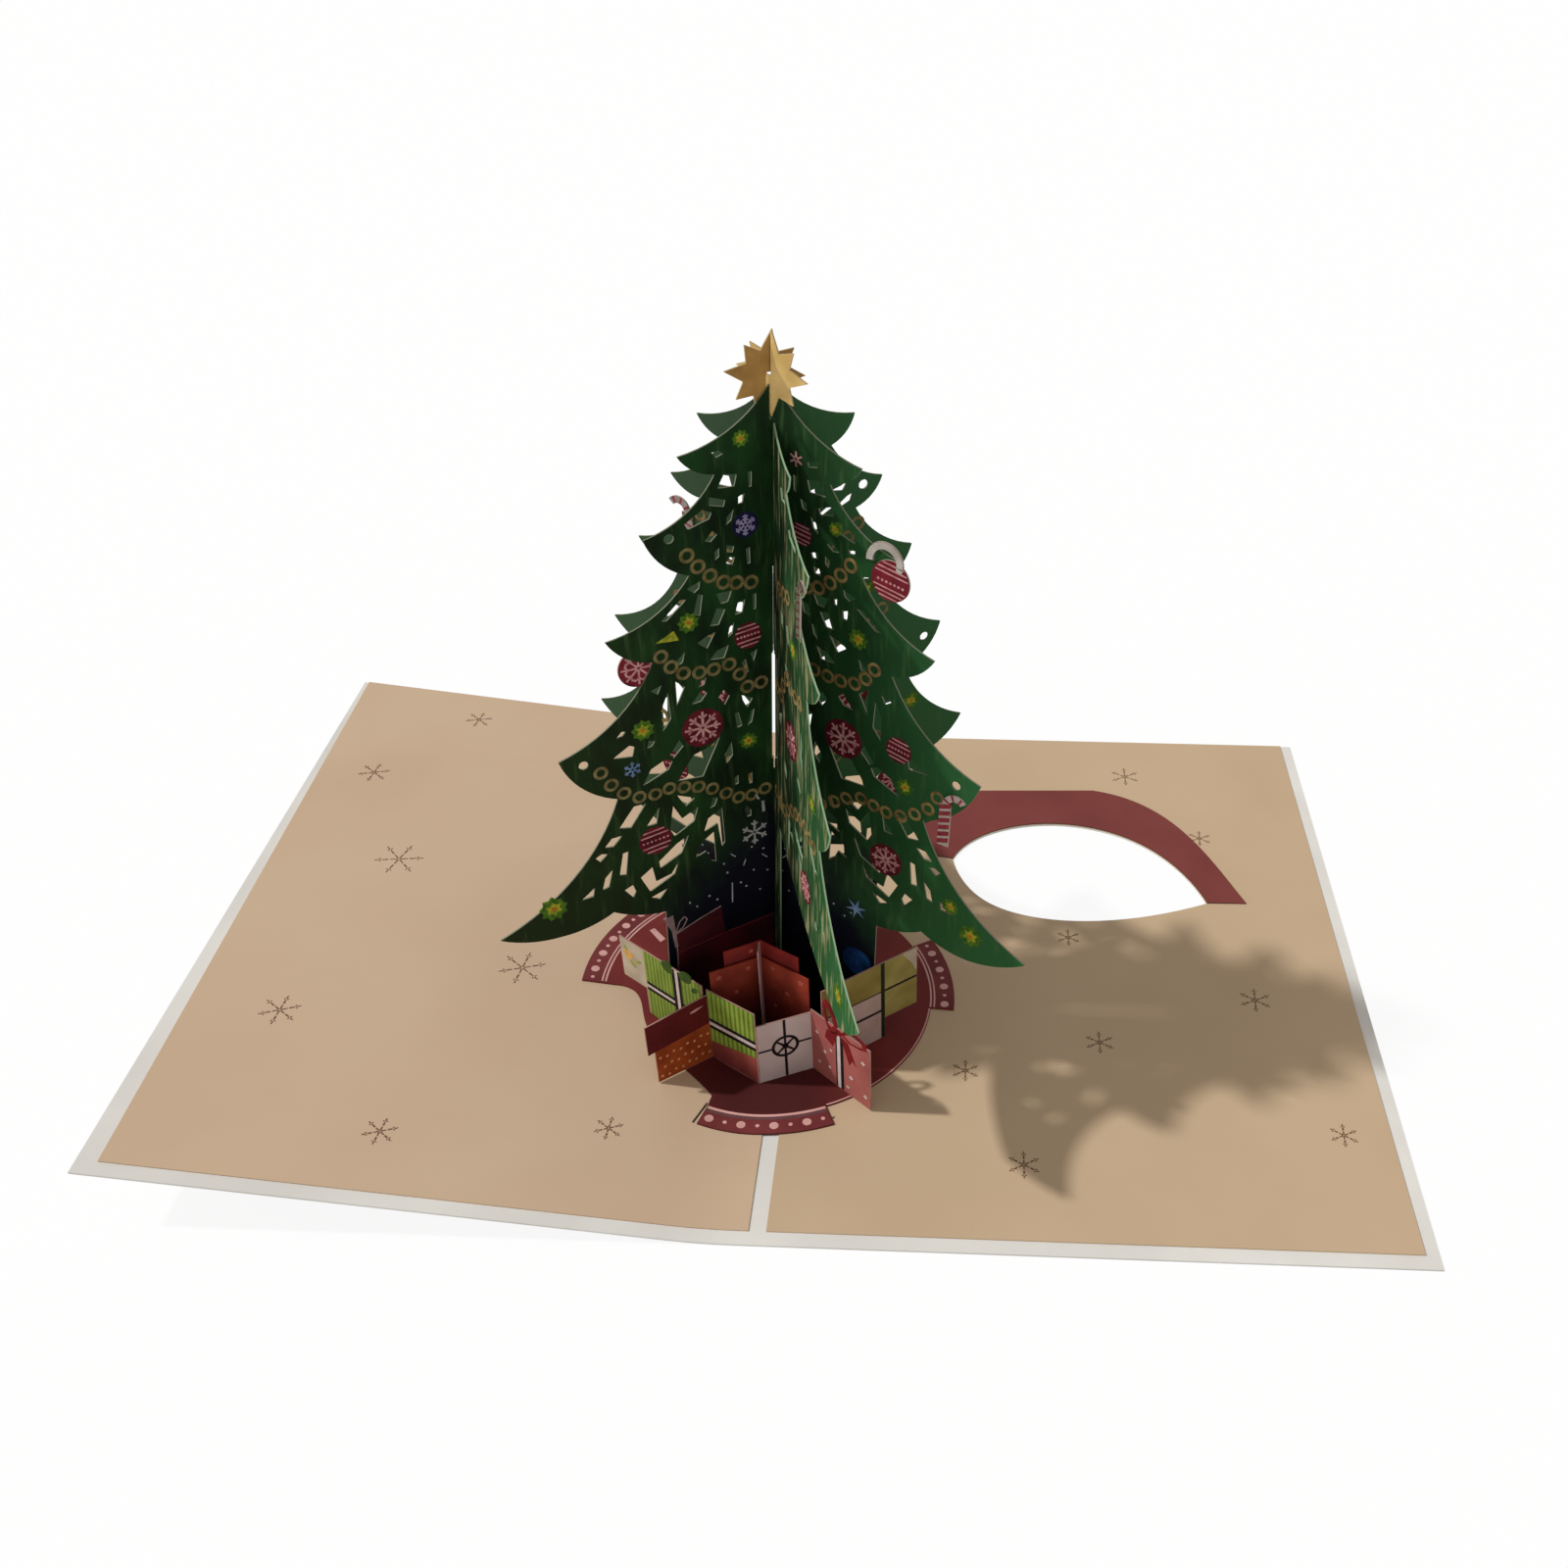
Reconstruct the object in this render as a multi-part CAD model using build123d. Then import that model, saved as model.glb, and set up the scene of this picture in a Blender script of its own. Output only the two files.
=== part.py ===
from build123d import *
import os
from math import atan2, cos, degrees, hypot, radians, sin

# Card cover: one folded sheet, the right page flat on the table and the left page raised
page_width = 150.0
page_depth = 200.0
cover_thickness = 0.5
left_page_lift = 7.0
flat_strip = 4.0
bend_radius = 131.0

# Tan sheets glued inside the cover, with the white margins that they leave
panel_thickness = 0.3
spine_gap = 4.0
front_margin = 3.6
right_margin = 3.2
left_margin_front = 4.75
left_margin_back = 1.3
slit_width = 0.6
slit_lines = [((-18.8, -66.5), (-16.2, -59.9)), ((11.0, -64.3), (14.9, -62.6))]

# Window through the right page, and the red band glued along its back edge
band_thickness = 0.3
window_right_corner = (113.6, 20.4)
window_left_end = (42.0, 37.5)
window_back_points = [(108.9, 32.1), (96.2, 47.5), (76.4, 55.3), (58.7, 53.1), (46.4, 45.0)]
window_front_points = [(44.4, 29.0), (51.5, 18.8), (63.4, 12.9), (78.0, 11.4), (98.9, 14.9)]
band_tip = (124.6, 20.6)
band_outer_points = [(115.8, 42.8), (103.4, 62.3)]
band_flat_right = (84.8, 72.7)
band_flat_left = (50.0, 71.2)
band_left_end = [(30.8, 52.4), (36.6, 38.6)]

# Round skirt sheet under the tree: plain rim, wider lobes and one notch, as angles and radii
skirt_thickness = 0.4
skirt_centre = (-4.0, -22.0)
skirt_radius = 41.0
lobes = [(-107.0, -66.3, 47.0), (-4.0, 30.0, 47.0), (70.0, 110.0, 47.0), (137.0, 182.0, 49.8)]
notch_points = [(41.4, 182.6), (35.6, 186.0), (34.2, 202.0), (34.0, 219.0), (34.3, 239.0), (37.5, 252.3)]

# Tree: three crossing sheets, whose common middle line leans to the right
tree_thickness = 0.4
tree_foot = (-3.6, -22.0)
tree_lean = 2.6
sheet_a_angle = 30.0
sheet_b_angle = -30.0
centre_front_angle = -69.0
centre_back_angle = 93.0
slot_half = 0.42
splayed_slot_half = 0.66
wide_slot_half = 2.2
centre_wide_slot_half = 3.2
sight_low = 76.0
sight_high = 104.0
left_sight_half = 0.8
back_sight_low = 71.0
back_sight_reach = 6.0
sheet_a_slot_foot = 73.0
sheet_b_slot_top = 125.0
centre_low_slot_top = 106.0
centre_high_slot_foot = 123.0

# Tips and notches of each half tree, as distance from the middle line and height
left_front_tips = [(20.4, 152.4), (28.3, 136.2), (37.7, 115.1), (50.0, 88.7), (67.6, 44.7)]
left_front_notches = [(12.7, 147.6), (18.9, 126.6), (27.8, 108.1), (37.8, 75.5)]
right_front_tips = [(21.2, 152.4), (30.2, 135.6), (40.2, 116.2), (53.4, 90.4), (68.7, 47.7)]
right_front_notches = [(13.8, 147.2), (22.0, 129.5), (30.3, 109.0), (40.1, 75.7)]
centre_front_tips = [(12.5, 150.3), (26.0, 135.8), (34.5, 114.3), (43.8, 85.8), (66.6, 51.5)]
centre_front_notches = [(9.7, 145.7), (17.2, 126.2), (25.8, 107.6), (36.4, 76.6)]
left_back_tips = [(19.1, 153.4), (26.8, 138.4), (36.9, 120.6), (45.9, 97.6), (52.6, 71.8), (54.0, 49.0)]
right_back_tips = [(17.9, 155.7), (24.8, 141.2), (32.8, 123.8), (41.5, 102.5), (49.2, 75.2), (54.0, 49.0)]
back_notches = [(12.8, 149.6), (18.8, 134.8), (26.0, 115.5), (33.0, 92.0), (37.5, 66.0)]
side_apex = 165.5
centre_apex = 157.3
left_hem = [(54.0, 40.8), (41.0, 43.7), (28.4, 39.4)]
right_hem = [(54.6, 41.6), (41.8, 44.0), (29.6, 39.6)]
back_hem = [(41.0, 43.7), (28.4, 39.4)]
centre_hem = [(54.2, 41.1), (5.0, 59.5)]
upper_edge_bow = 0.11
lower_edge_bow = 0.12
hem_bow = 0.07

# Lace cut-outs of a half tree, drawn for the left front one and carried to the tips of each.
# The small ones are only in the two front halves, which have a few of their own too.
lace_bridge = 0.7
tip_hole_radius = 1.1
tip_hole_sides = 9
front_tip_holes = [(22.9, 135.6), (44.7, 86.5)]
back_tip_holes = [(20.4, 139.8), (37.5, 99.4)]
large_cuts = [
    [(8.0, 146.9), (10.8, 147.3), (12.3, 144.5), (8.6, 144.4)],
    [(10.6, 141.8), (14.0, 143.0), (14.2, 141.2), (11.0, 140.4)],
    [(13.6, 139.6), (15.6, 140.6), (19.5, 138.1), (18.8, 136.8), (14.2, 138.3)],
    [(19.7, 121.3), (21.1, 121.5), (25.6, 117.3), (24.3, 117.2)],
    [(6.7, 118.6), (8.4, 118.0), (9.2, 115.2), (7.4, 115.6)],
    [(9.6, 121.3), (13.2, 121.2), (12.2, 118.6), (10.6, 118.8)],
    [(11.2, 117.2), (13.2, 117.8), (14.8, 113.8), (12.8, 113.8)],
    [(13.6, 112.2), (15.8, 111.6), (17.8, 110.4), (15.6, 108.6)],
    [(10.6, 108.4), (13.4, 107.6), (15.2, 105.6), (11.8, 105.4)],
    [(21.0, 100.4), (23.3, 102.4), (23.1, 95.8)],
    [(24.9, 100.0), (26.6, 96.0), (26.5, 90.2), (24.5, 93.2)],
    [(16.0, 97.6), (17.2, 98.8), (19.8, 95.4), (17.4, 95.8)],
    [(5.3, 93.6), (8.4, 95.2), (6.7, 91.4)],
    [(10.8, 95.6), (12.2, 97.4), (13.4, 95.8), (12.0, 93.4)],
    [(33.1, 88.2), (34.3, 88.8), (38.3, 86.3), (33.7, 85.7)],
    [(24.7, 82.0), (26.2, 83.0), (29.8, 81.2), (32.0, 77.2), (25.7, 80.0)],
    [(22.0, 85.3), (22.9, 87.2), (25.3, 83.7), (24.4, 82.7)],
    [(13.2, 85.6), (15.6, 83.6), (19.8, 82.2), (22.4, 78.4), (23.8, 76.2), (17.7, 75.8)],
    [(10.6, 83.4), (12.4, 80.2), (12.0, 77.6), (10.4, 79.6)],
    [(19.8, 70.4), (24.1, 72.4), (22.2, 68.7)],
    [(19.2, 67.7), (23.2, 65.6), (25.2, 69.7), (26.2, 63.4), (25.2, 61.0), (20.3, 63.9)],
    [(28.4, 70.5), (31.8, 65.8), (29.3, 66.0)],
    [(31.4, 72.4), (34.3, 72.4), (38.1, 67.3), (35.3, 66.7)],
    [(37.4, 65.2), (40.0, 65.1), (41.9, 62.9), (39.7, 62.7)],
    [(13.4, 65.7), (16.9, 63.6), (18.1, 59.9), (14.6, 61.5), (13.7, 54.2), (12.9, 55.6)],
    [(15.6, 59.4), (19.1, 56.9), (20.4, 53.1), (17.7, 54.2), (16.5, 51.0), (15.3, 50.4)],
    [(21.7, 60.4), (24.8, 58.8), (29.3, 55.0), (29.1, 52.8), (23.7, 55.7)],
    [(24.4, 53.6), (26.5, 50.4), (30.3, 49.4), (31.0, 53.9), (34.0, 51.7), (31.9, 46.7), (25.7, 50.0)],
    [(36.0, 50.2), (38.1, 49.3), (36.1, 46.4), (35.3, 48.0)],
    [(36.4, 60.3), (37.7, 60.1), (38.9, 54.0), (37.3, 53.7)],
    [(40.3, 56.4), (42.3, 54.4), (43.2, 51.0), (41.6, 51.5)],
    [(27.5, 46.4), (32.0, 44.9), (29.7, 43.7)],
]
small_cuts = [
    [(4.8, 147.0), (5.7, 147.0), (5.5, 143.6), (4.9, 143.8)],
    [(6.4, 142.6), (7.8, 142.0), (8.0, 140.3), (6.9, 140.6)],
    [(8.8, 139.6), (10.4, 138.0), (10.6, 136.2), (9.4, 137.2)],
    [(12.6, 134.6), (13.6, 135.6), (15.4, 133.6), (14.0, 133.2)],
    [(8.9, 131.3), (10.6, 131.8), (10.6, 130.2), (9.3, 130.0)],
    [(12.2, 131.6), (13.3, 130.8), (13.2, 128.8), (12.3, 129.6)],
    [(5.5, 130.5), (6.4, 130.2), (6.1, 126.6), (5.4, 126.8)],
    [(16.6, 124.9), (19.6, 123.7), (18.0, 122.4), (16.9, 123.2)],
    [(4.2, 119.5), (5.0, 119.4), (4.9, 115.6), (4.3, 115.8)],
    [(9.3, 113.6), (10.4, 112.6), (10.9, 110.0), (9.8, 111.0)],
    [(4.1, 105.8), (5.8, 105.2), (5.0, 102.8)],
    [(6.9, 104.0), (7.8, 103.2), (7.0, 100.2), (6.2, 100.6)],
    [(20.6, 109.0), (22.4, 107.4), (22.7, 105.6), (21.2, 106.6)],
    [(26.2, 102.1), (28.8, 101.3), (27.2, 100.0)],
    [(4.9, 90.8), (5.8, 90.4), (6.7, 86.4), (5.6, 87.4)],
    [(8.8, 90.8), (9.7, 90.6), (9.2, 86.6), (8.0, 87.0)],
    [(14.4, 68.8), (15.6, 69.3), (16.4, 66.2), (15.1, 66.8)],
    [(41.1, 61.1), (42.7, 61.5), (44.2, 60.7), (43.1, 59.3)],
    [(44.9, 52.5), (48.5, 49.7), (45.4, 50.0)],
]
left_front_cuts = [
    [(10.8, 151.6), (11.8, 152.5), (13.2, 152.2), (12.4, 151.0)],
    [(8.8, 128.8), (9.8, 129.2), (11.0, 127.6), (9.4, 127.2)],
    [(16.2, 121.6), (17.2, 122.0), (18.4, 117.4), (16.9, 116.8)],
    [(16.0, 101.6), (17.4, 100.8), (18.0, 99.4), (16.6, 99.8)],
    [(34.8, 92.6), (35.8, 92.8), (37.2, 91.2), (35.6, 91.6)],
    [(28.4, 88.4), (29.8, 88.8), (30.4, 86.8), (29.2, 87.2)],
    [(5.8, 73.6), (6.8, 73.2), (6.6, 70.4), (5.8, 70.6)],
    [(9.2, 73.8), (10.2, 73.2), (10.0, 71.0), (9.2, 71.4)],
    [(6.2, 62.8), (7.2, 64.4), (7.8, 63.4), (7.2, 61.0), (6.2, 61.2)],
]
right_front_cuts = [
    [(8.4, 150.4), (11.4, 151.2), (10.8, 149.8), (8.6, 149.4)],
    [(10.2, 128.2), (11.6, 128.0), (12.2, 126.4), (10.6, 126.6)],
    [(18.6, 134.5), (20.2, 134.7), (20.4, 133.7), (19.0, 133.7)],
    [(17.6, 120.4), (19.0, 120.6), (18.8, 118.2), (17.8, 118.4)],
    [(15.4, 122.4), (16.2, 122.8), (16.2, 120.8), (15.6, 121.0)],
]

# Cut-outs of the two back halves, where daylight shows through the front ones
left_back_cuts = [
    [(10.4, 139.6), (11.2, 142.0), (14.0, 141.6), (14.4, 139.2)],
    [(7.8, 138.8), (9.2, 138.2), (9.2, 136.2), (8.0, 136.6)],
    [(17.6, 130.8), (20.4, 131.4), (22.2, 129.2), (18.4, 128.4)],
    [(10.8, 123.4), (12.4, 123.6), (13.0, 121.6), (11.2, 121.2)],
    [(8.2, 113.6), (10.0, 113.2), (10.4, 110.6), (8.6, 110.8)],
    [(10.6, 107.0), (12.2, 106.4), (12.8, 103.6), (11.0, 104.2)],
    [(25.6, 106.4), (27.6, 106.8), (31.6, 103.0), (29.8, 102.6)],
    [(6.8, 88.4), (9.6, 90.6), (8.8, 86.4)],
    [(19.6, 89.6), (21.4, 89.4), (22.0, 87.4), (20.0, 87.8)],
    [(25.8, 84.4), (28.8, 86.6), (28.6, 79.6), (26.6, 80.0)],
    [(31.2, 80.4), (33.0, 79.6), (33.2, 71.4), (31.6, 72.4)],
    [(21.0, 67.0), (21.6, 69.2), (25.2, 67.8), (24.8, 66.4)],
    [(32.2, 57.8), (33.6, 61.0), (40.6, 57.4), (40.8, 54.0)],
    [(21.6, 57.6), (22.2, 60.0), (30.2, 61.2), (30.6, 57.8), (25.4, 56.0)],
    [(24.8, 50.8), (25.6, 54.0), (30.2, 53.4), (30.4, 50.6)],
    [(24.8, 42.8), (24.8, 48.4), (33.4, 49.4), (34.0, 44.6)],
    [(16.0, 42.0), (16.6, 51.4), (21.8, 51.4), (23.4, 42.0)],
]
right_back_cuts = [
    [(12.6, 139.6), (15.2, 140.4), (16.9, 141.6), (15.6, 139.2)],
    [(14.6, 136.2), (16.6, 137.8), (17.9, 138.4), (17.4, 136.6), (15.4, 135.6)],
    [(7.4, 140.2), (9.2, 140.8), (9.6, 138.6), (7.8, 138.2)],
    [(10.4, 135.0), (12.4, 136.4), (13.2, 135.6), (11.2, 134.4)],
    [(8.4, 133.2), (9.6, 133.4), (10.0, 131.4), (8.8, 131.2)],
    [(8.4, 126.2), (9.6, 126.4), (10.0, 124.2), (8.8, 124.2)],
    [(9.2, 122.6), (10.4, 122.6), (11.0, 120.8), (9.6, 120.8)],
    [(17.4, 124.8), (19.0, 125.0), (19.4, 123.8), (17.8, 123.8)],
    [(21.2, 117.4), (22.4, 120.4), (23.4, 120.2), (22.6, 117.2)],
    [(14.4, 113.8), (15.4, 114.0), (15.4, 112.0), (14.6, 112.0)],
    [(16.6, 110.4), (17.8, 110.4), (17.8, 108.0), (16.8, 108.2)],
    [(11.0, 108.8), (13.2, 109.4), (14.0, 106.6), (12.0, 106.2)],
    [(14.6, 101.6), (17.4, 102.8), (17.6, 100.0), (15.0, 99.4)],
    [(10.2, 99.4), (12.2, 100.2), (12.8, 97.2), (11.0, 97.4)],
    [(19.4, 93.2), (21.0, 93.8), (21.4, 91.2), (20.0, 91.4)],
    [(27.6, 83.4), (29.8, 83.6), (30.2, 81.8), (28.4, 81.6)],
    [(16.4, 85.8), (18.8, 86.6), (19.6, 83.6), (17.4, 83.6)],
    [(11.6, 88.0), (13.4, 88.2), (14.4, 84.8), (12.8, 84.6)],
    [(8.2, 85.4), (9.4, 85.6), (9.6, 80.2), (8.6, 80.2)],
    [(9.6, 75.0), (10.8, 76.8), (11.6, 74.0), (10.6, 73.2)],
    [(34.8, 61.6), (36.2, 62.4), (39.0, 59.8), (37.2, 59.2)],
    [(25.4, 61.6), (27.6, 63.4), (32.4, 59.4), (30.6, 58.2)],
    [(17.2, 61.8), (18.4, 65.2), (22.6, 64.4), (23.4, 60.8)],
    [(20.2, 54.0), (20.8, 56.8), (24.4, 55.4), (23.6, 52.6)],
    [(17.6, 46.2), (18.0, 53.6), (22.8, 51.6), (23.4, 46.4)],
    [(24.6, 42.8), (24.8, 47.4), (29.2, 47.4), (30.4, 43.4)],
    [(14.4, 41.2), (14.6, 45.8), (18.6, 44.4), (18.8, 41.4)],
    [(13.6, 48.2), (14.2, 52.6), (16.6, 51.4), (16.6, 48.2)],
]

# Star sheets on the top of the tree
star_thickness = 0.4
star_height = side_apex + 0.7
front_star_radius = 8.5
side_star_radius = 8.7
star_points = 8
star_short_share = 0.86
star_waist_share = 0.54
side_star_turn = 10.0
side_star_shift = -1.5
front_star_slot = (-1.3, -0.1)
side_star_slot = (-1.4, 0.7)
star_room_half = 0.9
star_room_below = 0.5
star_slot_overlap = 0.3

# Gift panels: upright folded strips round the foot of the tree, as corners in plan
gift_thickness = 0.35
front_strip_plan = [(-28.6, -55.4), (-16.9, -44.8), (-4.4, -52.8), (8.4, -47.0), (23.4, -60.4)]
orange_box_top = 13.6
lid_top = 22.8
lid_overhang = 1.9
green_top = 24.6
white_top = 20.4
pink_top = 21.3
box_back_plan = [(-15.9, -43.9), (-4.3, -37.6), (7.9, -45.1)]
box_back_top = 29.2
tall_back_plan = [(-12.6, -41.2), (-4.3, -36.7), (5.4, -42.6)]
tall_back_top = 33.6
divider_plan = [(-4.3, -41.8), (-4.3, -38.2)]
divider_top = 34.4
left_strip_plan = [(-17.9, -44.8), (-41.1, -27.3)]
left_strip_inner = 20.9
left_strip_top = 25.6
cream_foot = 12.5
right_strip_plan = [(10.9, -46.6), (33.2, -29.5)]
right_strip_inner = 18.4
right_strip_top = 26.6
olive_foot = 7.8

# Hanging ornaments: flat card cut-outs that lie against the branches
ornament_thickness = 0.4
bauble_radius = 4.5
hook_radius = 3.6
hook_width = 1.6
hook_offset = (-1.6, 3.6)
hook_start = -20
hook_end = 185
right_bauble_drop = (-1.1, -4.6)
left_bauble_drop = (-6.8, -7.8)
right_cane_drop = (-7.8, -7.8)
centre_cane_drop = (-5.4, -5.8)
left_cane_drop = (-4.4, -7.9)
cane_width = 2.8
cane_length = 11.0
cane_hook_radius = 2.4
crook_end = 40

# Heights of the layers over the table, and room for cutting
panel_top = cover_thickness + panel_thickness
skirt_top = panel_top + skirt_thickness
cut_height = 60.0
cut_depth = 20.0
half_depth = page_depth / 2

# Lowest point of the front star, and the room that the tree leaves it
star_foot = star_height - front_star_radius


def page_layer(low, high):
    """The space between two heights over the table side, bent as the open cover is."""
    lift = radians(left_page_lift)
    slope_run = page_width - flat_strip - bend_radius * lift

    def at(height, angle, run):
        reach = bend_radius - height
        across = -flat_strip - reach * sin(angle) - run * cos(angle)
        return (across, bend_radius - reach * cos(angle) + run * sin(angle))

    lower = [at(low, 0, 0), at(low, lift / 2, 0), at(low, lift, 0), at(low, lift, slope_run)]
    upper = [at(high, 0, 0), at(high, lift / 2, 0), at(high, lift, 0), at(high, lift, slope_run)]
    edges = [
        Line((page_width, low), lower[0]),
        ThreePointArc(lower[0], lower[1], lower[2]),
        Line(lower[2], lower[3]),
        Line(lower[3], upper[3]),
        Line(upper[3], upper[2]),
        ThreePointArc(upper[2], upper[1], upper[0]),
        Line(upper[0], (page_width, high)),
        Line((page_width, high), (page_width, low)),
    ]
    profile = Plane.XZ * make_face(Curve() + edges)
    return extrude(profile, half_depth, both=True)


def upright(face):
    """A prism over an outline on the table, from below the card to above the gifts."""
    return extrude(Pos(0, 0, -cut_depth) * face, cut_depth + cut_height)


def outline(points):
    """A flat face with straight sides."""
    return make_face(Polyline(*points, close=True))


def bar_in_plan(start, end, width):
    """A straight bar on the table, given by its middle line."""
    run = hypot(end[0] - start[0], end[1] - start[1])
    turn = degrees(atan2(end[1] - start[1], end[0] - start[0]))
    middle = ((start[0] + end[0]) / 2, (start[1] + end[1]) / 2)
    return Pos(*middle) * Rot(0, 0, turn) * Rectangle(run, width)


def make_window():
    """The lens-shaped opening in the right page."""
    back = Spline(window_right_corner, *window_back_points, window_left_end)
    front = Spline(window_left_end, *window_front_points, window_right_corner)
    return make_face(Curve() + [back, front])


def make_cover():
    """White folded cover with the window cut through its right page."""
    return page_layer(0, cover_thickness) - upright(make_window())


def make_panel(points, side):
    """A tan sheet glued inside one page, slit where a lobe of the skirt tucks in."""
    sheet = upright(outline(points)) & page_layer(cover_thickness, panel_top)
    start, end = slit_lines[side]
    return sheet - upright(bar_in_plan(start, end, slit_width))


def make_left_panel():
    lift = radians(left_page_lift)
    slope_run = page_width - flat_strip - bend_radius * lift
    edge = -flat_strip - (bend_radius - panel_top) * sin(lift) - slope_run * cos(lift)
    corners = [
        (-spine_gap / 2, -half_depth + front_margin),
        (-spine_gap / 2, half_depth),
        (edge + left_margin_back, half_depth),
        (edge + left_margin_front, -half_depth + front_margin),
    ]
    return make_panel(corners, 0)


def make_right_panel():
    edge = page_width - right_margin
    corners = [
        (spine_gap / 2, -half_depth + front_margin),
        (edge, -half_depth + front_margin),
        (edge, half_depth),
        (spine_gap / 2, half_depth),
    ]
    return make_panel(corners, 1) - upright(make_window())


def make_band():
    """Red half ring on the right page, whose inner edge is the back edge of the window."""
    inner = Spline(window_right_corner, *window_back_points, window_left_end)
    edges = [
        inner,
        Line(window_left_end, band_left_end[1]),
        Line(band_left_end[1], band_left_end[0]),
        Line(band_left_end[0], band_flat_left),
        Line(band_flat_left, band_flat_right),
        Spline(band_flat_right, *reversed(band_outer_points), band_tip),
        Line(band_tip, window_right_corner),
    ]
    face = make_face(Curve() + edges)
    return upright(face) & page_layer(panel_top, panel_top + band_thickness)


def skirt_point(radius, angle):
    turn = radians(angle)
    return (skirt_centre[0] + radius * cos(turn), skirt_centre[1] + radius * sin(turn))


def skirt_arc(radius, start, end):
    middle = (start + end) / 2
    return ThreePointArc(
        skirt_point(radius, start), skirt_point(radius, middle), skirt_point(radius, end)
    )


def make_skirt():
    """Round sheet under the tree, lying on both pages, with its frilled lobes."""
    edges = []
    for number, (start, end, reach) in enumerate(lobes):
        edges.append(Line(skirt_point(skirt_radius, start), skirt_point(reach, start)))
        edges.append(skirt_arc(reach, start, end))
        if number < len(lobes) - 1:
            edges.append(Line(skirt_point(reach, end), skirt_point(skirt_radius, end)))
            edges.append(skirt_arc(skirt_radius, end, lobes[number + 1][0]))
    notch = [skirt_point(radius, angle) for radius, angle in notch_points]
    edges.append(Line(skirt_point(lobes[-1][2], lobes[-1][1]), notch[0]))
    edges.append(Spline(*notch))
    edges.append(Line(notch[-1], skirt_point(skirt_radius, lobes[0][0])))
    return upright(make_face(Curve() + edges)) & page_layer(panel_top, skirt_top)


def bowed(start, end, bow):
    """An arc whose middle stands off its chord by a share of the chord, to its right."""
    run = (end[0] - start[0], end[1] - start[1])
    middle = ((start[0] + end[0]) / 2 + bow * run[1], (start[1] + end[1]) / 2 - bow * run[0])
    return ThreePointArc(start, middle, end)


def half_tree(tips, notches, apex, hem):
    """Outline of a half tree: hollow upper edges, full lower edges, hem and trunk."""
    edges = []
    corner = (0.0, apex)
    for number, tip in enumerate(tips):
        edges.append(bowed(corner, tip, upper_edge_bow))
        last = number == len(notches)
        corner = hem[0] if last else notches[number]
        edges.append(bowed(tip, corner, -hem_bow if last else -lower_edge_bow))
    for point in hem[1:]:
        edges.append(bowed(corner, point, -hem_bow))
        corner = point
    for point in [(corner[0], -cut_depth), (0.0, -cut_depth), (0.0, apex)]:
        edges.append(Line(corner, point))
        corner = point
    return make_face(Curve() + edges)


def stretch(point, tips):
    """Carry a point drawn for the left front half tree to another front one, tip by tip."""
    tops = [(0.0, side_apex)] + left_front_tips
    ends = [(0.0, side_apex)] + tips
    rows = list(zip(tops, ends))
    for (upper, upper_end), (lower, lower_end) in zip(rows, rows[1:]):
        if point[1] >= lower[1] or lower == tops[-1]:
            share = (upper[1] - point[1]) / (upper[1] - lower[1])
            reach = upper[0] + share * (lower[0] - upper[0])
            new_reach = upper_end[0] + share * (lower_end[0] - upper_end[0])
            height = upper_end[1] + share * (lower_end[1] - upper_end[1])
            return (point[0] * new_reach / reach, height)


def make_star(radius, turn, shift, slot, slot_above):
    """Eight-pointed star with a slot for the other star."""
    points = []
    for step in range(2 * star_points):
        share = (1.0, star_waist_share, star_short_share, star_waist_share)[step % 4]
        angle = radians(turn + step * 180 / star_points)
        across = shift + radius * share * sin(angle)
        points.append((across, star_height + radius * share * cos(angle)))
    length = 2 * radius
    middle = (slot[0] + slot[1]) / 2
    if slot_above:
        height = star_height - star_slot_overlap + length / 2
    else:
        height = star_height + star_slot_overlap - length / 2
    return outline(points) - Pos(middle, height) * Rectangle(slot[1] - slot[0], length)


def ring_part(centre, radius, width, start, end):
    """A curved strip, given by its middle radius and its two angles."""
    def at(reach, angle):
        turn = radians(angle)
        return (centre[0] + reach * cos(turn), centre[1] + reach * sin(turn))

    outer = radius + width / 2
    inner = radius - width / 2
    middle = (start + end) / 2
    edges = [
        ThreePointArc(at(outer, start), at(outer, middle), at(outer, end)),
        Line(at(outer, end), at(inner, end)),
        ThreePointArc(at(inner, end), at(inner, middle), at(inner, start)),
        Line(at(inner, start), at(outer, start)),
    ]
    return make_face(Curve() + edges)


def bauble_shape(centre, side):
    """Round bauble and its hook, with the open side of the hook towards the trunk."""
    hook_centre = (centre[0] + side * hook_offset[0], centre[1] + hook_offset[1])
    start, end = (hook_start, hook_end) if side > 0 else (180 - hook_start, 180 - hook_end)
    hook = ring_part(hook_centre, hook_radius, hook_width, start, end)
    return Pos(*centre) * Circle(bauble_radius) + hook


def cane_shape(top, side):
    """Candy cane that hangs down from its own crook."""
    stick_centre = (top[0], top[1] - cane_length / 2)
    crook_centre = (top[0] + side * cane_hook_radius, top[1])
    start, end = (180, crook_end) if side > 0 else (0, 180 - crook_end)
    crook = ring_part(crook_centre, cane_hook_radius, hook_width, start, end)
    return Pos(*stick_centre) * Rectangle(cane_width, cane_length) + crook


def sheet_plane(angle):
    """Upright plane through the middle line of the tree: across is local X, up is local Y."""
    lean = radians(tree_lean)
    turn = radians(angle)
    across = Vector(cos(turn) * cos(lean), sin(turn), -cos(turn) * sin(lean))
    up = Vector(sin(lean), 0, cos(lean))
    origin = (tree_foot[0], tree_foot[1], skirt_top)
    return Plane(origin=origin, x_dir=across, z_dir=across.cross(up))


def card_on(plane, face, thickness, level):
    """Flat card on a sheet plane, with its middle at a level in front of that plane."""
    lower = Pos(0, 0, level - thickness / 2) * face
    return plane * extrude(lower, thickness)


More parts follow.
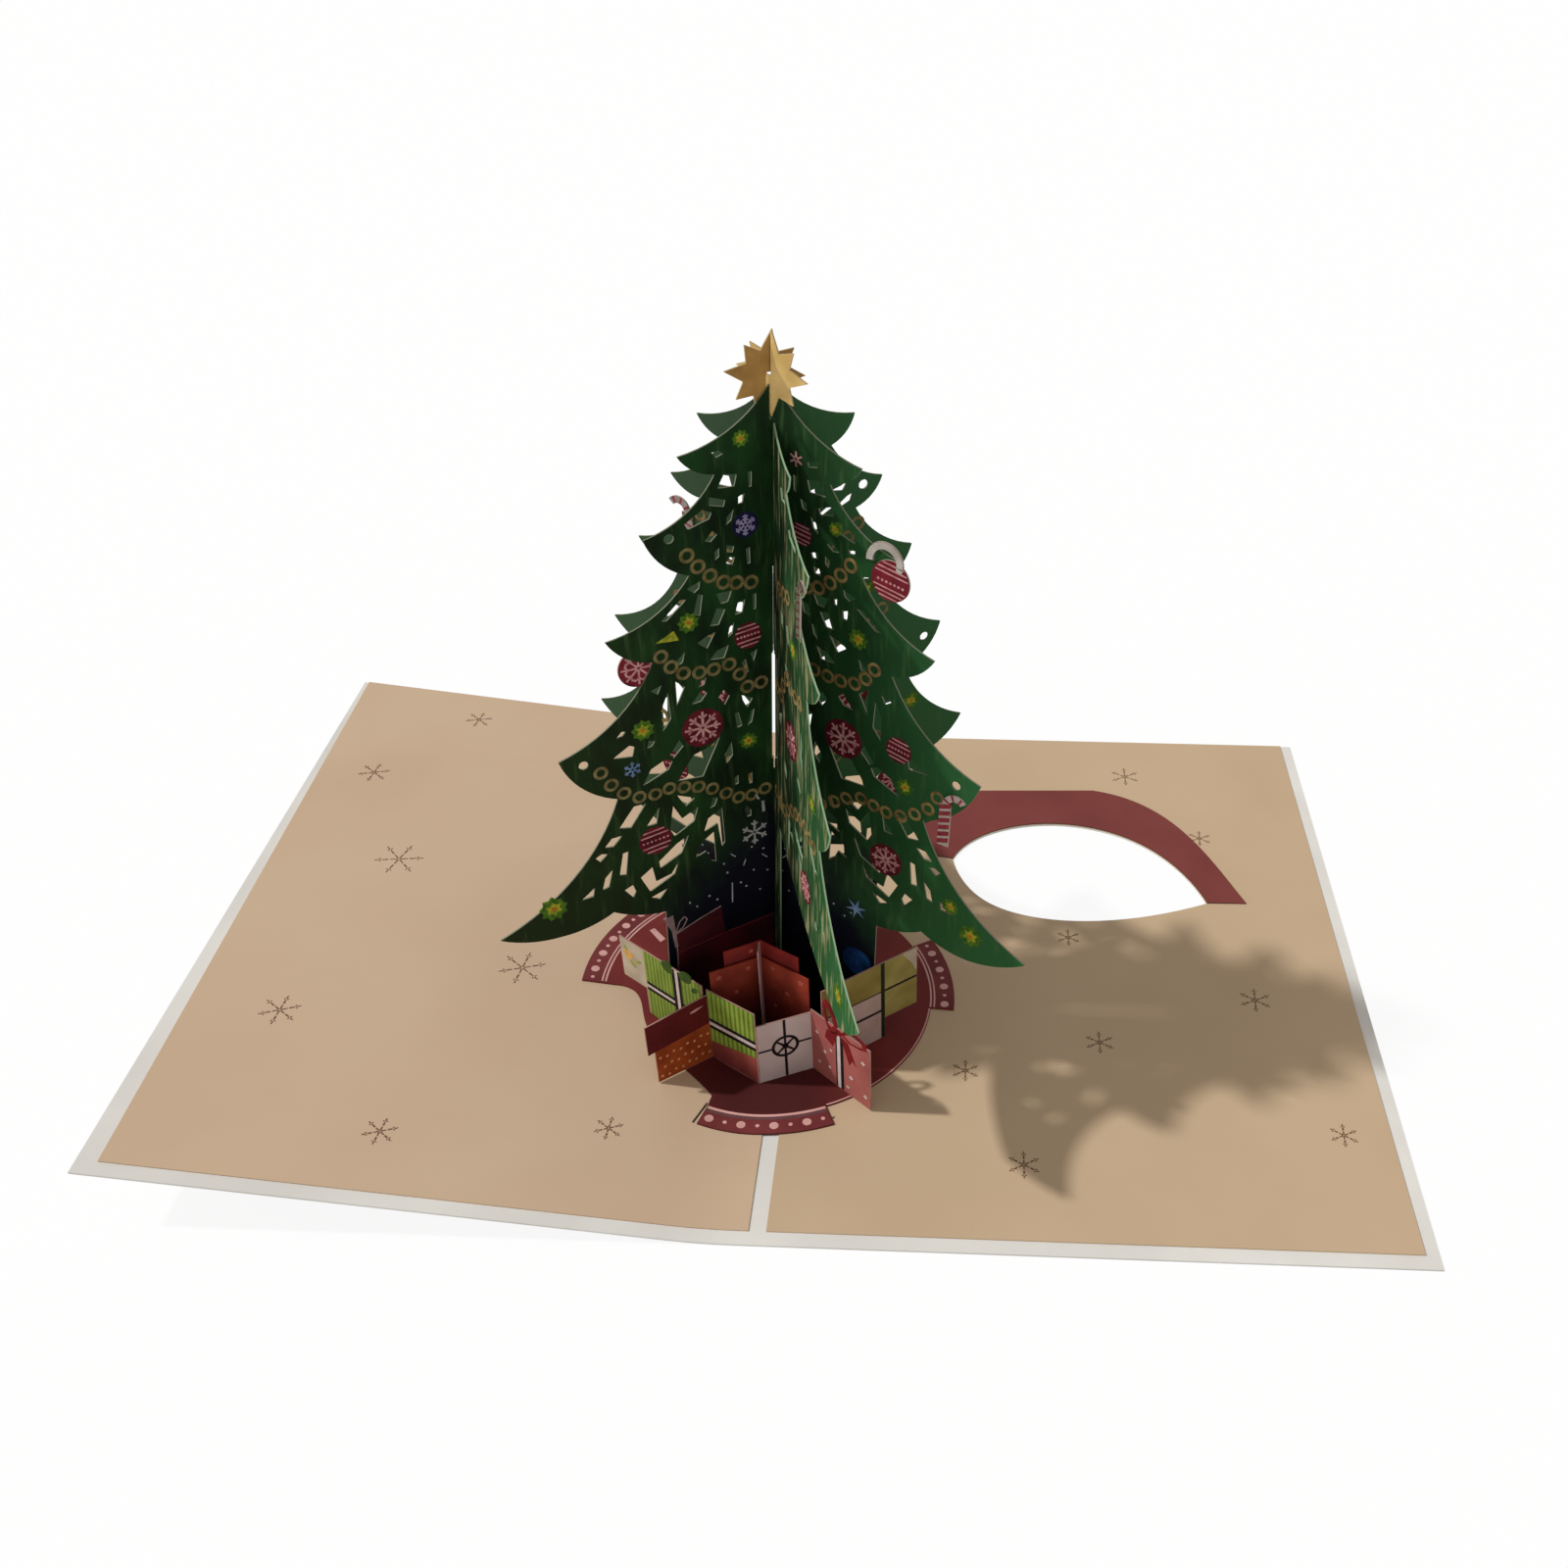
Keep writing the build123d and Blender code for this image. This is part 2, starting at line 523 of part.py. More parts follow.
def block(left, right, low, high):
    return Pos((left + right) / 2, (low + high) / 2) * Rectangle(right - left, high - low)


def slots(rows, face):
    """Cut slots, each given by its left, right, low and high limits."""
    for left, right, low, high in rows:
        face = face - block(left, right, low, high)
    return face


def carried(shapes, tips):
    """The shared cut-outs, carried to the tips of one half tree."""
    return [[stretch(point, tips) for point in shape] for shape in shapes]


def cut_lace(half, cuts, hole_places):
    """Cut the lace and the tip holes that fit inside one half tree."""
    rim = half.face().outer_wire()
    tip_hole = RegularPolygon(tip_hole_radius, tip_hole_sides)
    holes = [Pos(*place) * tip_hole for place in hole_places]
    holes += [outline(shape) for shape in cuts]
    for hole in holes:
        centre = hole.center()
        if half.face().is_inside(centre) and rim.distance_to(hole) >= lace_bridge:
            half = half - hole
    return half


def make_side_sheet(angle, right_half, left_half, rows):
    """A whole tree sheet: one half each side of the middle line, with its slots."""
    tips, notches, hem, cuts, hole_places = right_half
    right = slots(rows, half_tree(tips, notches, side_apex, hem))
    right = cut_lace(right, cuts, hole_places)
    tips, notches, hem, cuts, hole_places = left_half
    left = half_tree(tips, notches, side_apex, hem)
    left = mirror(slots(rows, mirror(left, Plane.YZ)), Plane.YZ)
    left = mirror(cut_lace(left, cuts, hole_places), Plane.YZ)
    sheet = card_on(sheet_plane(angle), right + left, tree_thickness, 0)
    return sheet - page_layer(-cut_depth, skirt_top)


def make_centre_sheet():
    """The sheet that points to the front and the back, bent a little at the middle line."""
    rows = [
        (0, splayed_slot_half, -cut_depth, centre_low_slot_top),
        (0, splayed_slot_half, centre_high_slot_foot, side_apex),
    ]
    front_gap = (0, centre_wide_slot_half, sight_low, sight_high)
    back_gap = (0, back_sight_reach, back_sight_low, sight_high)
    every_second = carried(large_cuts[::2], centre_front_tips)
    front = half_tree(centre_front_tips, centre_front_notches, centre_apex, centre_hem)
    front = cut_lace(slots(rows + [front_gap], front), every_second, [])
    back = half_tree(left_front_tips, left_front_notches, centre_apex, left_hem)
    back = cut_lace(slots(rows + [back_gap], back), large_cuts, [])
    sheet = card_on(sheet_plane(centre_front_angle), front, tree_thickness, 0)
    sheet += card_on(sheet_plane(centre_back_angle), back, tree_thickness, 0)
    return sheet - page_layer(-cut_depth, skirt_top)


def wall(start, end, top, foot=0.0):
    """One flat panel of a gift strip, standing upright."""
    length_face = bar_in_plan(start, end, gift_thickness)
    return extrude(Pos(0, 0, foot) * length_face, top - foot)


def fold(place, top):
    """The rounded fold between two panels."""
    return extrude(Pos(*place) * Circle(gift_thickness / 2), top)


def on_skirt(strip):
    """Trim the foot of a strip to the skirt that it stands on."""
    return strip - page_layer(-cut_depth, skirt_top)


def make_front_strip():
    """Zigzag of four panels: orange box with its lid, green box, white box and pink box."""
    start, first, second, third, last = front_strip_plan
    run = (start[0] - first[0], start[1] - first[1])
    share = 1 + lid_overhang / hypot(*run)
    lid_end = (first[0] + share * run[0], first[1] + share * run[1])
    strip = wall(first, start, orange_box_top) + wall(first, lid_end, lid_top, orange_box_top)
    strip += wall(first, second, green_top) + wall(second, third, white_top)
    strip += wall(third, last, pink_top)
    strip += fold(first, lid_top) + fold(second, white_top) + fold(third, white_top)
    return on_skirt(strip)


def make_two_walls(plan, top):
    """Two panels folded once, as the back corner of a box."""
    strip = wall(plan[0], plan[1], top) + wall(plan[1], plan[2], top) + fold(plan[1], top)
    return on_skirt(strip)


def make_side_strip(plan, inner_length, top, outer_foot):
    """A long flat panel whose outer end is a smaller box, cut free above the skirt."""
    near, far = plan
    share = inner_length / hypot(far[0] - near[0], far[1] - near[1])
    joint = (near[0] + share * (far[0] - near[0]), near[1] + share * (far[1] - near[1]))
    return on_skirt(wall(near, far, top, outer_foot) + wall(near, joint, top))


def make_tree():
    """The three crossing sheets of the tree."""
    rows_a = [
        (-slot_half, slot_half, sheet_a_slot_foot, side_apex + slot_half),
        (-star_room_half, star_room_half, star_foot - star_room_below, side_apex + slot_half),
        (-left_sight_half, wide_slot_half, sight_low, sight_high),
    ]
    rows_b = [
        (-slot_half, splayed_slot_half, -cut_depth, sheet_b_slot_top),
        (-left_sight_half, wide_slot_half, sight_low, sight_high),
    ]
    shared = large_cuts + small_cuts
    left_lace = shared + left_front_cuts
    right_lace = carried(shared, right_front_tips) + right_front_cuts
    right_holes = carried([front_tip_holes], right_front_tips)[0]
    return {
        "tree_sheet_left": make_side_sheet(
            sheet_a_angle,
            (right_back_tips, back_notches, back_hem, right_back_cuts, back_tip_holes),
            (left_front_tips, left_front_notches, left_hem, left_lace, front_tip_holes),
            rows_a,
        ),
        "tree_sheet_right": make_side_sheet(
            sheet_b_angle,
            (right_front_tips, right_front_notches, right_hem, right_lace, right_holes),
            (left_back_tips, back_notches, back_hem, left_back_cuts, []),
            rows_b,
        ),
        "tree_sheet_centre": make_centre_sheet(),
    }


def make_stars():
    """Two gold stars, slotted through each other, glued to the top of the tree."""
    level = (tree_thickness + star_thickness) / 2
    front = make_star(front_star_radius, 0, 0, front_star_slot, True)
    side = make_star(
        side_star_radius, side_star_turn, side_star_shift, side_star_slot, False
    )
    return {
        "star_front": card_on(sheet_plane(sheet_b_angle), front, star_thickness, level),
        "star_side": card_on(sheet_plane(sheet_a_angle), side, star_thickness, -level),
    }


def hung_at(tip, drop):
    """Place of an ornament, given by its branch tip and its offset from there."""
    return (tip[0] + drop[0], tip[1] + drop[1])


def on_left(place):
    """The same place on the half tree left of the middle line."""
    return (-place[0], place[1])


def make_ornaments():
    """Flat ornaments, each against the front or the back face of its half tree."""
    level = (tree_thickness + ornament_thickness) / 2
    right_bauble = hung_at(right_front_tips[1], right_bauble_drop)
    left_bauble = on_left(hung_at(left_front_tips[2], left_bauble_drop))
    right_cane = hung_at(right_front_tips[3], right_cane_drop)
    centre_cane = hung_at(centre_front_tips[1], centre_cane_drop)
    left_cane = on_left(hung_at(left_back_tips[1], left_cane_drop))
    rows = [
        ("bauble_right_front", sheet_b_angle, bauble_shape(right_bauble, 1), level),
        ("bauble_left_front", sheet_a_angle, bauble_shape(left_bauble, -1), -level),
        ("candy_cane_right", sheet_b_angle, cane_shape(right_cane, 1), level),
        ("candy_cane_centre", centre_front_angle, cane_shape(centre_cane, 1), level),
        ("candy_cane_left", sheet_b_angle, cane_shape(left_cane, -1), level),
    ]
    return {
        name: card_on(sheet_plane(angle), face, ornament_thickness, offset)
        for name, angle, face, offset in rows
    }


pieces = {
    "outer_cover": make_cover(),
    "left_inner_panel": make_left_panel(),
    "right_inner_panel": make_right_panel(),
    "half_ring_band": make_band(),
    "skirt_sheet": make_skirt(),
    "gift_front_strip": make_front_strip(),
    "gift_box_back": make_two_walls(box_back_plan, box_back_top),
    "gift_tall_back": make_two_walls(tall_back_plan, tall_back_top),
    "gift_divider": on_skirt(wall(divider_plan[0], divider_plan[1], divider_top)),
    "gift_left_strip": make_side_strip(
        left_strip_plan, left_strip_inner, left_strip_top, cream_foot
    ),
    "gift_right_strip": make_side_strip(
        right_strip_plan, right_strip_inner, right_strip_top, olive_foot
    ),
}
pieces.update(make_tree())
pieces.update(make_stars())
pieces.update(make_ornaments())

os.makedirs("parts", exist_ok=True)
for name, piece in pieces.items():
    export_step(piece, f"parts/{name}.step")
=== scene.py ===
# Pop-up christmas card, open on a table: the finish of every sheet, its print and the light.
# Sizes are in millimetres as the maker gives them, and one thousandth of that in the scene.
from math import cos, hypot, pi, radians, sin

import bmesh
import bpy
from mathutils import Matrix, Vector


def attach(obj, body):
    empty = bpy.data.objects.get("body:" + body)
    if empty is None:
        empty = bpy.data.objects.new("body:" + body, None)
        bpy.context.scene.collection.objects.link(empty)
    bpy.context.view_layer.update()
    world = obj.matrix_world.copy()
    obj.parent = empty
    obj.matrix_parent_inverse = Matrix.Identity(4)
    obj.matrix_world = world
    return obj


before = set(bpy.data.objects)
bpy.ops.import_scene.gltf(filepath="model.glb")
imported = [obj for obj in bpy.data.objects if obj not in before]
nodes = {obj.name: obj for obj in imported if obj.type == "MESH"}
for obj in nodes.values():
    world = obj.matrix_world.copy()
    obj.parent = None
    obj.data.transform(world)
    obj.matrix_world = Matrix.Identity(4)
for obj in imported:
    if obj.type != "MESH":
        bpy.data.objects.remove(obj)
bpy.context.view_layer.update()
mm = 0.001

# The card cover: one sheet of smooth white card, folded along its spine and die-cut once for
# the window. The right page lies on the table, and the left page springs up by 7 degrees.
flat_end = -4.0
bend_radius = 131.0
page_lift = radians(7.0)
cover_thickness = 0.5


def colour(red, green, blue):
    """A colour given as it shows on screen, turned into amounts of light."""
    shares = [value / 255 for value in (red, green, blue)]
    return [s / 12.92 if s < 0.04045 else ((s + 0.055) / 1.055) ** 2.4 for s in shares] + [1.0]


def grain(tree, place, scale, detail):
    """Soft natural unevenness, finer the greater its scale."""
    noise = tree.nodes.new("ShaderNodeTexNoise")
    noise.inputs["Scale"].default_value = scale
    noise.inputs["Detail"].default_value = detail
    tree.links.new(place, noise.inputs["Vector"])
    return noise.outputs["Fac"]


def paper(name, light, dark, patch, stretch=(1, 1, 1), fibre=0.1, roughness=0.7, gleam=0.25):
    """Printed or plain paper: soft patches of two tones, given as they show on screen, and a fine
    fibrous tooth. The patches are so many metres across, and may be stretched."""
    made = bpy.data.materials.new(name)
    made.use_nodes = True
    tree = made.node_tree
    shader = tree.nodes["Principled BSDF"]
    shader.inputs["Roughness"].default_value = roughness
    shader.inputs["Specular IOR Level"].default_value = gleam
    place = tree.nodes.new("ShaderNodeTexCoord").outputs["Object"]
    turned = tree.nodes.new("ShaderNodeMapping")
    turned.inputs["Scale"].default_value = stretch
    tree.links.new(place, turned.inputs["Vector"])
    tones = tree.nodes.new("ShaderNodeValToRGB")
    for element, position, tone in zip(tones.color_ramp.elements, (0.35, 0.65), (dark, light)):
        element.position = position
        element.color = colour(*tone)
    tree.links.new(grain(tree, turned.outputs["Vector"], 1 / patch, 5), tones.inputs["Fac"])
    tree.links.new(tones.outputs["Color"], shader.inputs["Base Color"])
    tooth = tree.nodes.new("ShaderNodeBump")
    tooth.inputs["Strength"].default_value = fibre
    tooth.inputs["Distance"].default_value = 0.1 * mm
    fibre_fineness = 2600
    tree.links.new(grain(tree, place, fibre_fineness, 3), tooth.inputs["Height"])
    tree.links.new(tooth.outputs["Normal"], shader.inputs["Normal"])
    return made


def finish_node(node, material):
    """Gives a sheet of the card its paper."""
    for slot in nodes[node].material_slots:
        slot.material = material


cover_paper = paper("cover_paper", (224, 222, 216), (214, 211, 205), 0.03, fibre=0.05)
finish_node("outer_cover", cover_paper)

# The two tan sheets glued inside the cover, a matte paper printed with small brown snowflakes
# whose arms are rows of dashes. Each is slit once in front of the tree, for the skirt sheet.
panel_top = 0.8
ink_sunk = 0.02
ink_proud = 0.03
tan_left = paper("tan_left_paper", (202, 176, 147), (197, 170, 142), 0.05)
tan_right = paper("tan_right_paper", (195, 170, 139), (190, 165, 134), 0.05)
finish_node("left_inner_panel", tan_left)
finish_node("right_inner_panel", tan_right)


def on_pages(across, along, lift):
    """A point over the open pages, lift above the table side, at a place seen from above."""
    reach = bend_radius - lift
    bend_end = flat_end - reach * sin(page_lift)
    if across >= flat_end:
        height = lift
    elif across >= bend_end:
        height = bend_radius - (reach ** 2 - (across - flat_end) ** 2) ** 0.5
    else:
        run = (bend_end - across) / cos(page_lift)
        height = bend_radius - reach * cos(page_lift) + run * sin(page_lift)
    return Vector((across * mm, along * mm, height * mm))


def disc(x, y, radius, sides):
    """A round spot of ink, as an outline with nothing cut out of it."""
    turns = [2 * pi * k / sides for k in range(sides)]
    return ([(x + radius * cos(t), y + radius * sin(t)) for t in turns], None)


def hoop(x, y, radius, width, sides):
    """A ring of ink: its outer and its inner outline."""
    return (disc(x, y, radius, sides)[0], disc(x, y, radius - width, sides)[0])


def bar(x0, y0, x1, y1, width, end_width=None):
    """A straight stroke of ink, whose end may be wider or narrower than its start."""
    length = hypot(x1 - x0, y1 - y0)
    side_x = -(y1 - y0) / length / 2
    side_y = (x1 - x0) / length / 2
    last = width if end_width is None else end_width
    return ([
        (x0 + side_x * width, y0 + side_y * width), (x0 - side_x * width, y0 - side_y * width),
        (x1 - side_x * last, y1 - side_y * last), (x1 + side_x * last, y1 + side_y * last),
    ], None)


def ray(x, y, start, end, angle, width, end_width=None):
    """A straight stroke of ink that points away from a centre, between two distances from it."""
    run, rise = cos(angle), sin(angle)
    return bar(x + start * run, y + start * rise, x + end * run, y + end * rise, width, end_width)


def printed(name, shapes, place, low, high, material):
    """One layer of print: each shape is a very thin slab of ink on its sheet. It is an outline,
    a ring of two outlines, or a band of two open lines."""
    ink = bmesh.new()
    for shape in shapes:
        outer, inner = shape[:2]
        is_band = len(shape) == 3
        count = len(outer)
        sides = count - 1 if is_band else count
        top, base = [[ink.verts.new(place(x, y, level)) for x, y in outer] for level in (high, low)]
        for k in range(sides):
            after = (k + 1) % count
            ink.faces.new((base[k], base[after], top[after], top[k]))
        if inner is None:
            ink.faces.new(top)
            ink.faces.new(base[::-1])
            continue
        hole_top, hole_base = [
            [ink.verts.new(place(x, y, level)) for x, y in inner] for level in (high, low)
        ]
        for k in range(sides):
            after = (k + 1) % count
            ink.faces.new((top[k], top[after], hole_top[after], hole_top[k]))
            ink.faces.new((base[after], base[k], hole_base[k], hole_base[after]))
            ink.faces.new((hole_top[k], hole_top[after], hole_base[after], hole_base[k]))
        if is_band:
            ink.faces.new((base[0], top[0], hole_top[0], hole_base[0]))
            ink.faces.new((base[-1], top[-1], hole_top[-1], hole_base[-1]))
    bmesh.ops.recalc_face_normals(ink, faces=ink.faces)
    mesh = bpy.data.meshes.new(name)
    ink.to_mesh(mesh)
    ink.free()
    mesh.materials.append(material)
    piece = bpy.data.objects.new(name, mesh)
    bpy.context.scene.collection.objects.link(piece)
    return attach(piece, "root")


def dashed_snowflake(x, y, radius, turn):
    """Six long arms of three dashes each, with a pair of tiny barbs near the end of each arm."""
    strokes = []
    for arm in range(6):
        angle = turn + arm * pi / 3
        for start, end, width in ((0.06, 0.36, 0.4), (0.44, 0.7, 0.46), (0.8, 1.0, 0.36)):
            strokes.append(ray(x, y, start * radius, end * radius, angle, width, width * 0.7))
        for side in (-1, 1):
            barb = angle + side * 0.95
            foot_x = x + 0.74 * radius * cos(angle) + side * 0.22 * cos(angle + pi / 2)
            foot_y = y + 0.74 * radius * sin(angle) + side * 0.22 * sin(angle + pi / 2)
            strokes.append(ray(foot_x, foot_y, 0, 0.11 * radius, barb, 0.3, 0.2))
    return strokes


page_flakes = [
    (-109.0, 86.7, 8.0, 1.42), (-131.3, 53.1, 9.0, 1.45), (-112.6, 15.4, 13.0, 1.3),
    (-69.7, -21.5, 12.0, 1.45), (-123.1, -46.0, 10.0, 1.5), (-88.3, -79.6, 8.0, 1.45),
    (-37.8, -71.1, 7.0, 1.5), (95.4, 80.9, 9.0, 1.57), (115.0, 50.2, 7.0, 1.5),
    (73.9, 4.4, 6.5, 1.57), (121.3, -18.1, 8.5, 1.5), (79.8, -35.1, 7.5, 1.57),
    (46.0, -46.2, 7.0, 1.57), (59.7, -75.2, 8.0, 1.57), (135.5, -63.1, 7.0, 1.5),
]
flake_ink = paper("flake_ink", (116, 82, 62), (98, 68, 50), 0.003)
flakes = []
for across, along, size, turn in page_flakes:
    flakes += dashed_snowflake(across, along, size / 2, turn)
page_print = printed(
    "page_snowflakes", flakes, on_pages, panel_top - ink_sunk, panel_top + ink_proud, flake_ink
)

# The half ring glued behind the window: plain brick-red paper, matte, cut with the window, so
# that its inner edge and the window's are one. Its cut edge is dark red, as painted shade where
# the edge lies in shadow.
band_paper = paper("band_paper", (125, 60, 55), (113, 51, 47), 0.03)


def reckon(tree, operation, first, second=0.0):
    """A step of arithmetic on two values, each a node's output or a plain number."""
    step = tree.nodes.new("ShaderNodeMath")
    step.operation = operation
    for socket, value in zip(step.inputs, (first, second)):
        if isinstance(value, float):
            socket.default_value = value
        else:
            tree.links.new(value, socket)
    return step.outputs["Value"]


def rise_between(tree, value, low, high):
    """A share that is 0 where the value is low and 1 where it is high."""
    spread = tree.nodes.new("ShaderNodeMapRange")
    spread.inputs["From Min"].default_value = low
    spread.inputs["From Max"].default_value = high
    tree.links.new(value, spread.inputs["Value"])
    return spread.outputs["Result"]


def tinted(tree, share, first, second):
    """A colour between two others, each a node's output or a colour as it shows on screen."""
    mix = tree.nodes.new("ShaderNodeMix")
    mix.data_type = "RGBA"
    tree.links.new(share, mix.inputs["Factor"])
    for name, value in (("A", first), ("B", second)):
        if isinstance(value, tuple):
            mix.inputs[name].default_value = colour(*value)
        else:
            tree.links.new(value, mix.inputs[name])
    return mix.outputs["Result"]


def edge_core_and_shade(material, normal, core):
    """Gives the cut edges of a flat printed sheet their own colour: the bare core of the card, and on the
    half ring band a dark painted shade.
    """
    face_share = 0.5
    tree = material.node_tree
    shader = tree.nodes["Principled BSDF"]
    print_colour = shader.inputs["Base Color"].links[0].from_socket
    facing = tree.nodes.new("ShaderNodeNewGeometry")
    square = tree.nodes.new("ShaderNodeVectorMath")
    square.operation = "DOT_PRODUCT"
    square.inputs[1].default_value = normal
    tree.links.new(facing.outputs["True Normal"], square.inputs[0])
    towards = reckon(tree, "ABSOLUTE", square.outputs["Value"])
    on_face = reckon(tree, "GREATER_THAN", towards, face_share)
    tree.links.new(tinted(tree, on_face, core, print_colour), shader.inputs["Base Color"])


# Painted shade on the band's cut edge: dark red in place of the bare core.
edge_core_and_shade(band_paper, (0, 0, 1), (62, 22, 24))
finish_node("half_ring_band", band_paper)

# The skirt sheet under the tree: brick-red paper that lies over both pages, with painted shade
# at the front where the gifts shade it. Its lobes are printed as a frill with pale lines and spots,
# and one tucks into slits.
skirt_top = 1.2
skirt_middle = (-4.0, -22.0)
frill_spans = [(-107.0, -66.3, 47.0), (-4.0, 30.0, 47.0), (70.0, 110.0, 47.0), (137.0, 182.0, 49.8)]
skirt_paper = paper("skirt_paper", (118, 40, 36), (102, 32, 30), 0.02)
# Painted shade: the paper darkens towards a point in front of the gifts, where they shade it.
painted_front_shade = (70, 19, 19)
front_place = (-2 * mm, -56 * mm, 0)
shade_from, shade_to = 10 * mm, 32 * mm
skirt_tree = skirt_paper.node_tree
skirt_shader = skirt_tree.nodes["Principled BSDF"]
skirt_tone = skirt_shader.inputs["Base Color"].links[0].from_socket
from_front = skirt_tree.nodes.new("ShaderNodeVectorMath")
from_front.operation = "DISTANCE"
from_front.inputs[1].default_value = front_place
skirt_tree.links.new(skirt_tree.nodes.new("ShaderNodeTexCoord").outputs["Object"], from_front.inputs[0])
away = rise_between(skirt_tree, from_front.outputs["Value"], shade_from, shade_to)
skirt_tree.links.new(
    tinted(skirt_tree, away, painted_front_shade, skirt_tone), skirt_shader.inputs["Base Color"]
)
finish_node("skirt_sheet", skirt_paper)
frill_ink = paper("frill_ink", (118, 50, 50), (102, 38, 40), 0.01)
mauve_ink = paper("mauve_ink", (104, 66, 68), (92, 56, 60), 0.006)
line_ink = paper("line_ink", (216, 168, 160), (198, 148, 140), 0.006)
slit_ink = paper("slit_ink", (66, 42, 34), (52, 34, 28), 0.006)


def arc_band(inner, outer, start, end, steps=24, middle=skirt_middle):
    """Part of a ring of ink between two angles, round the middle of the skirt or another one."""
    turns = [radians(start + (end - start) * k / steps) for k in range(steps + 1)]
    far, near = [
        [(middle[0] + radius * cos(t), middle[1] + radius * sin(t)) for t in turns]
        for radius in (outer, inner)
    ]
    return (far, near, "band")


def skirt_spot(distance, angle, size):
    """A round spot on the skirt, by its distance and direction from the middle."""
    turn = radians(angle)
    return disc(skirt_middle[0] + distance * cos(turn), skirt_middle[1] + distance * sin(turn), size, 14)


frill_width = 6.2
front_line, front_band, rim_highlight = (41.0, 41.7), (41.75, 42.7), (40.5, 40.85)
spot_row, spot_spacing = 3.7, 3.4
frills = []
lines = []
spots = []
for number, (start, end, reach) in enumerate(frill_spans):
    inner = reach - frill_width
    frills.append(arc_band(inner, reach - 0.1, start + 0.3, end - 0.3))
    if number == 0:
        lines.append(arc_band(*front_line, start + 0.4, end - 0.4))
        count = 8
    else:
        lines.append(arc_band(inner - 0.1, inner + 0.35, start + 0.4, end - 0.4))
        lines.append(arc_band(inner + 0.85, inner + 1.25, start + 0.4, end - 0.4))
        count = round((end - start) * reach * pi / 180 / spot_spacing)
    for step in range(count):
        size = 1.1 if step % 2 == 0 else 0.5
        spots.append(skirt_spot(inner + spot_row, start + (end - start) * (step + 0.5) / count, size))
# A pale line along the plain right-front rim is a painted highlight on the raised edge of the sheet,
# printed with the frill lines.
lines.append(arc_band(*rim_highlight, -66.0, -4.5, 40))
pale_patch = [(-40.0, -1.9), (-38.9, -0.8), (-35.3, -4.5), (-36.4, -6.0)]
for name, shapes, ink, rise in (
    ("skirt_frill", frills, frill_ink, 0.02),
    ("skirt_mauve_band", [arc_band(*front_band, -106.6, -66.7)], mauve_ink, 0.03),
    ("skirt_lines", lines, line_ink, 0.04),
    ("skirt_spots", spots + [(pale_patch, None)], line_ink, 0.045),
):
    piece = printed(name, shapes, on_pages, skirt_top - ink_sunk, skirt_top + rise, ink)
slits = printed(
    "slit_shadows", [bar(-18.75, -66.4, -16.25, -60.0, 0.5), bar(11.05, -64.25, 14.85, -62.65, 0.5)],
    on_pages, cover_thickness - ink_sunk, cover_thickness + ink_proud, slit_ink,
)

# The three crossing sheets of the tree: card printed on both faces with painted fir branches,
# dark near the middle and brighter at the tips, and cut like lace. They slot into each other,
# and the white core of the card shows on every cut edge.
tree_foot = (-3.6, -22.0)
tree_lean = radians(2.6)
half_trees = {
    "left_front": -150, "right_front": -30, "left_back": 150, "right_back": 30, "centre_front": -69
}
leaf_print = 0.225
leaf_overprint = 0.25


def leaf_ways(side):
    """The directions of a half tree: away from the trunk, up, and out of its printed face."""
    turn = radians(half_trees[side])
    away = Vector((cos(turn) * cos(tree_lean), sin(turn), -cos(turn) * sin(tree_lean)))
    up = Vector((sin(tree_lean), 0, cos(tree_lean)))
    return away, up, away.cross(up)


def leaf(side):
    """Places a point on one half tree: its distance from the middle line, and its height."""
    away, up, out = leaf_ways(side)
    foot = Vector((tree_foot[0], tree_foot[1], skirt_top))

    def place(reach, height, level):
        return (foot + away * reach + up * height + out * level) * mm

    return place


def place_parts(tree):
    """The place of a point as a whole, and split into across, along and up."""
    place = tree.nodes.new("ShaderNodeTexCoord").outputs["Object"]
    split = tree.nodes.new("ShaderNodeSeparateXYZ")
    tree.links.new(place, split.inputs["Vector"])
    return (place, *split.outputs)


def trunk_reach(tree):
    """The distance of a point from the line of the trunk, seen from above."""
    across_along = place_parts(tree)[1:3]
    sides = [reckon(tree, "SUBTRACT", side, foot * mm) for side, foot in zip(across_along, tree_foot)]
    squares = [reckon(tree, "MULTIPLY", side, side) for side in sides]
    return reckon(tree, "SQRT", reckon(tree, "ADD", *squares))


night_blue = (9, 11, 22)
trunk_low, trunk_high = 62, 82
trunk_slope = 0.9
ragged_height, ragged_fineness = 12, 220
branch_foot, branch_tip = 12, 60
brush_lean = radians(12)
brush_length_scale = 0.13
brush_fineness = 760
stroke_share = 0.7
painted_sheen_share = 0.8


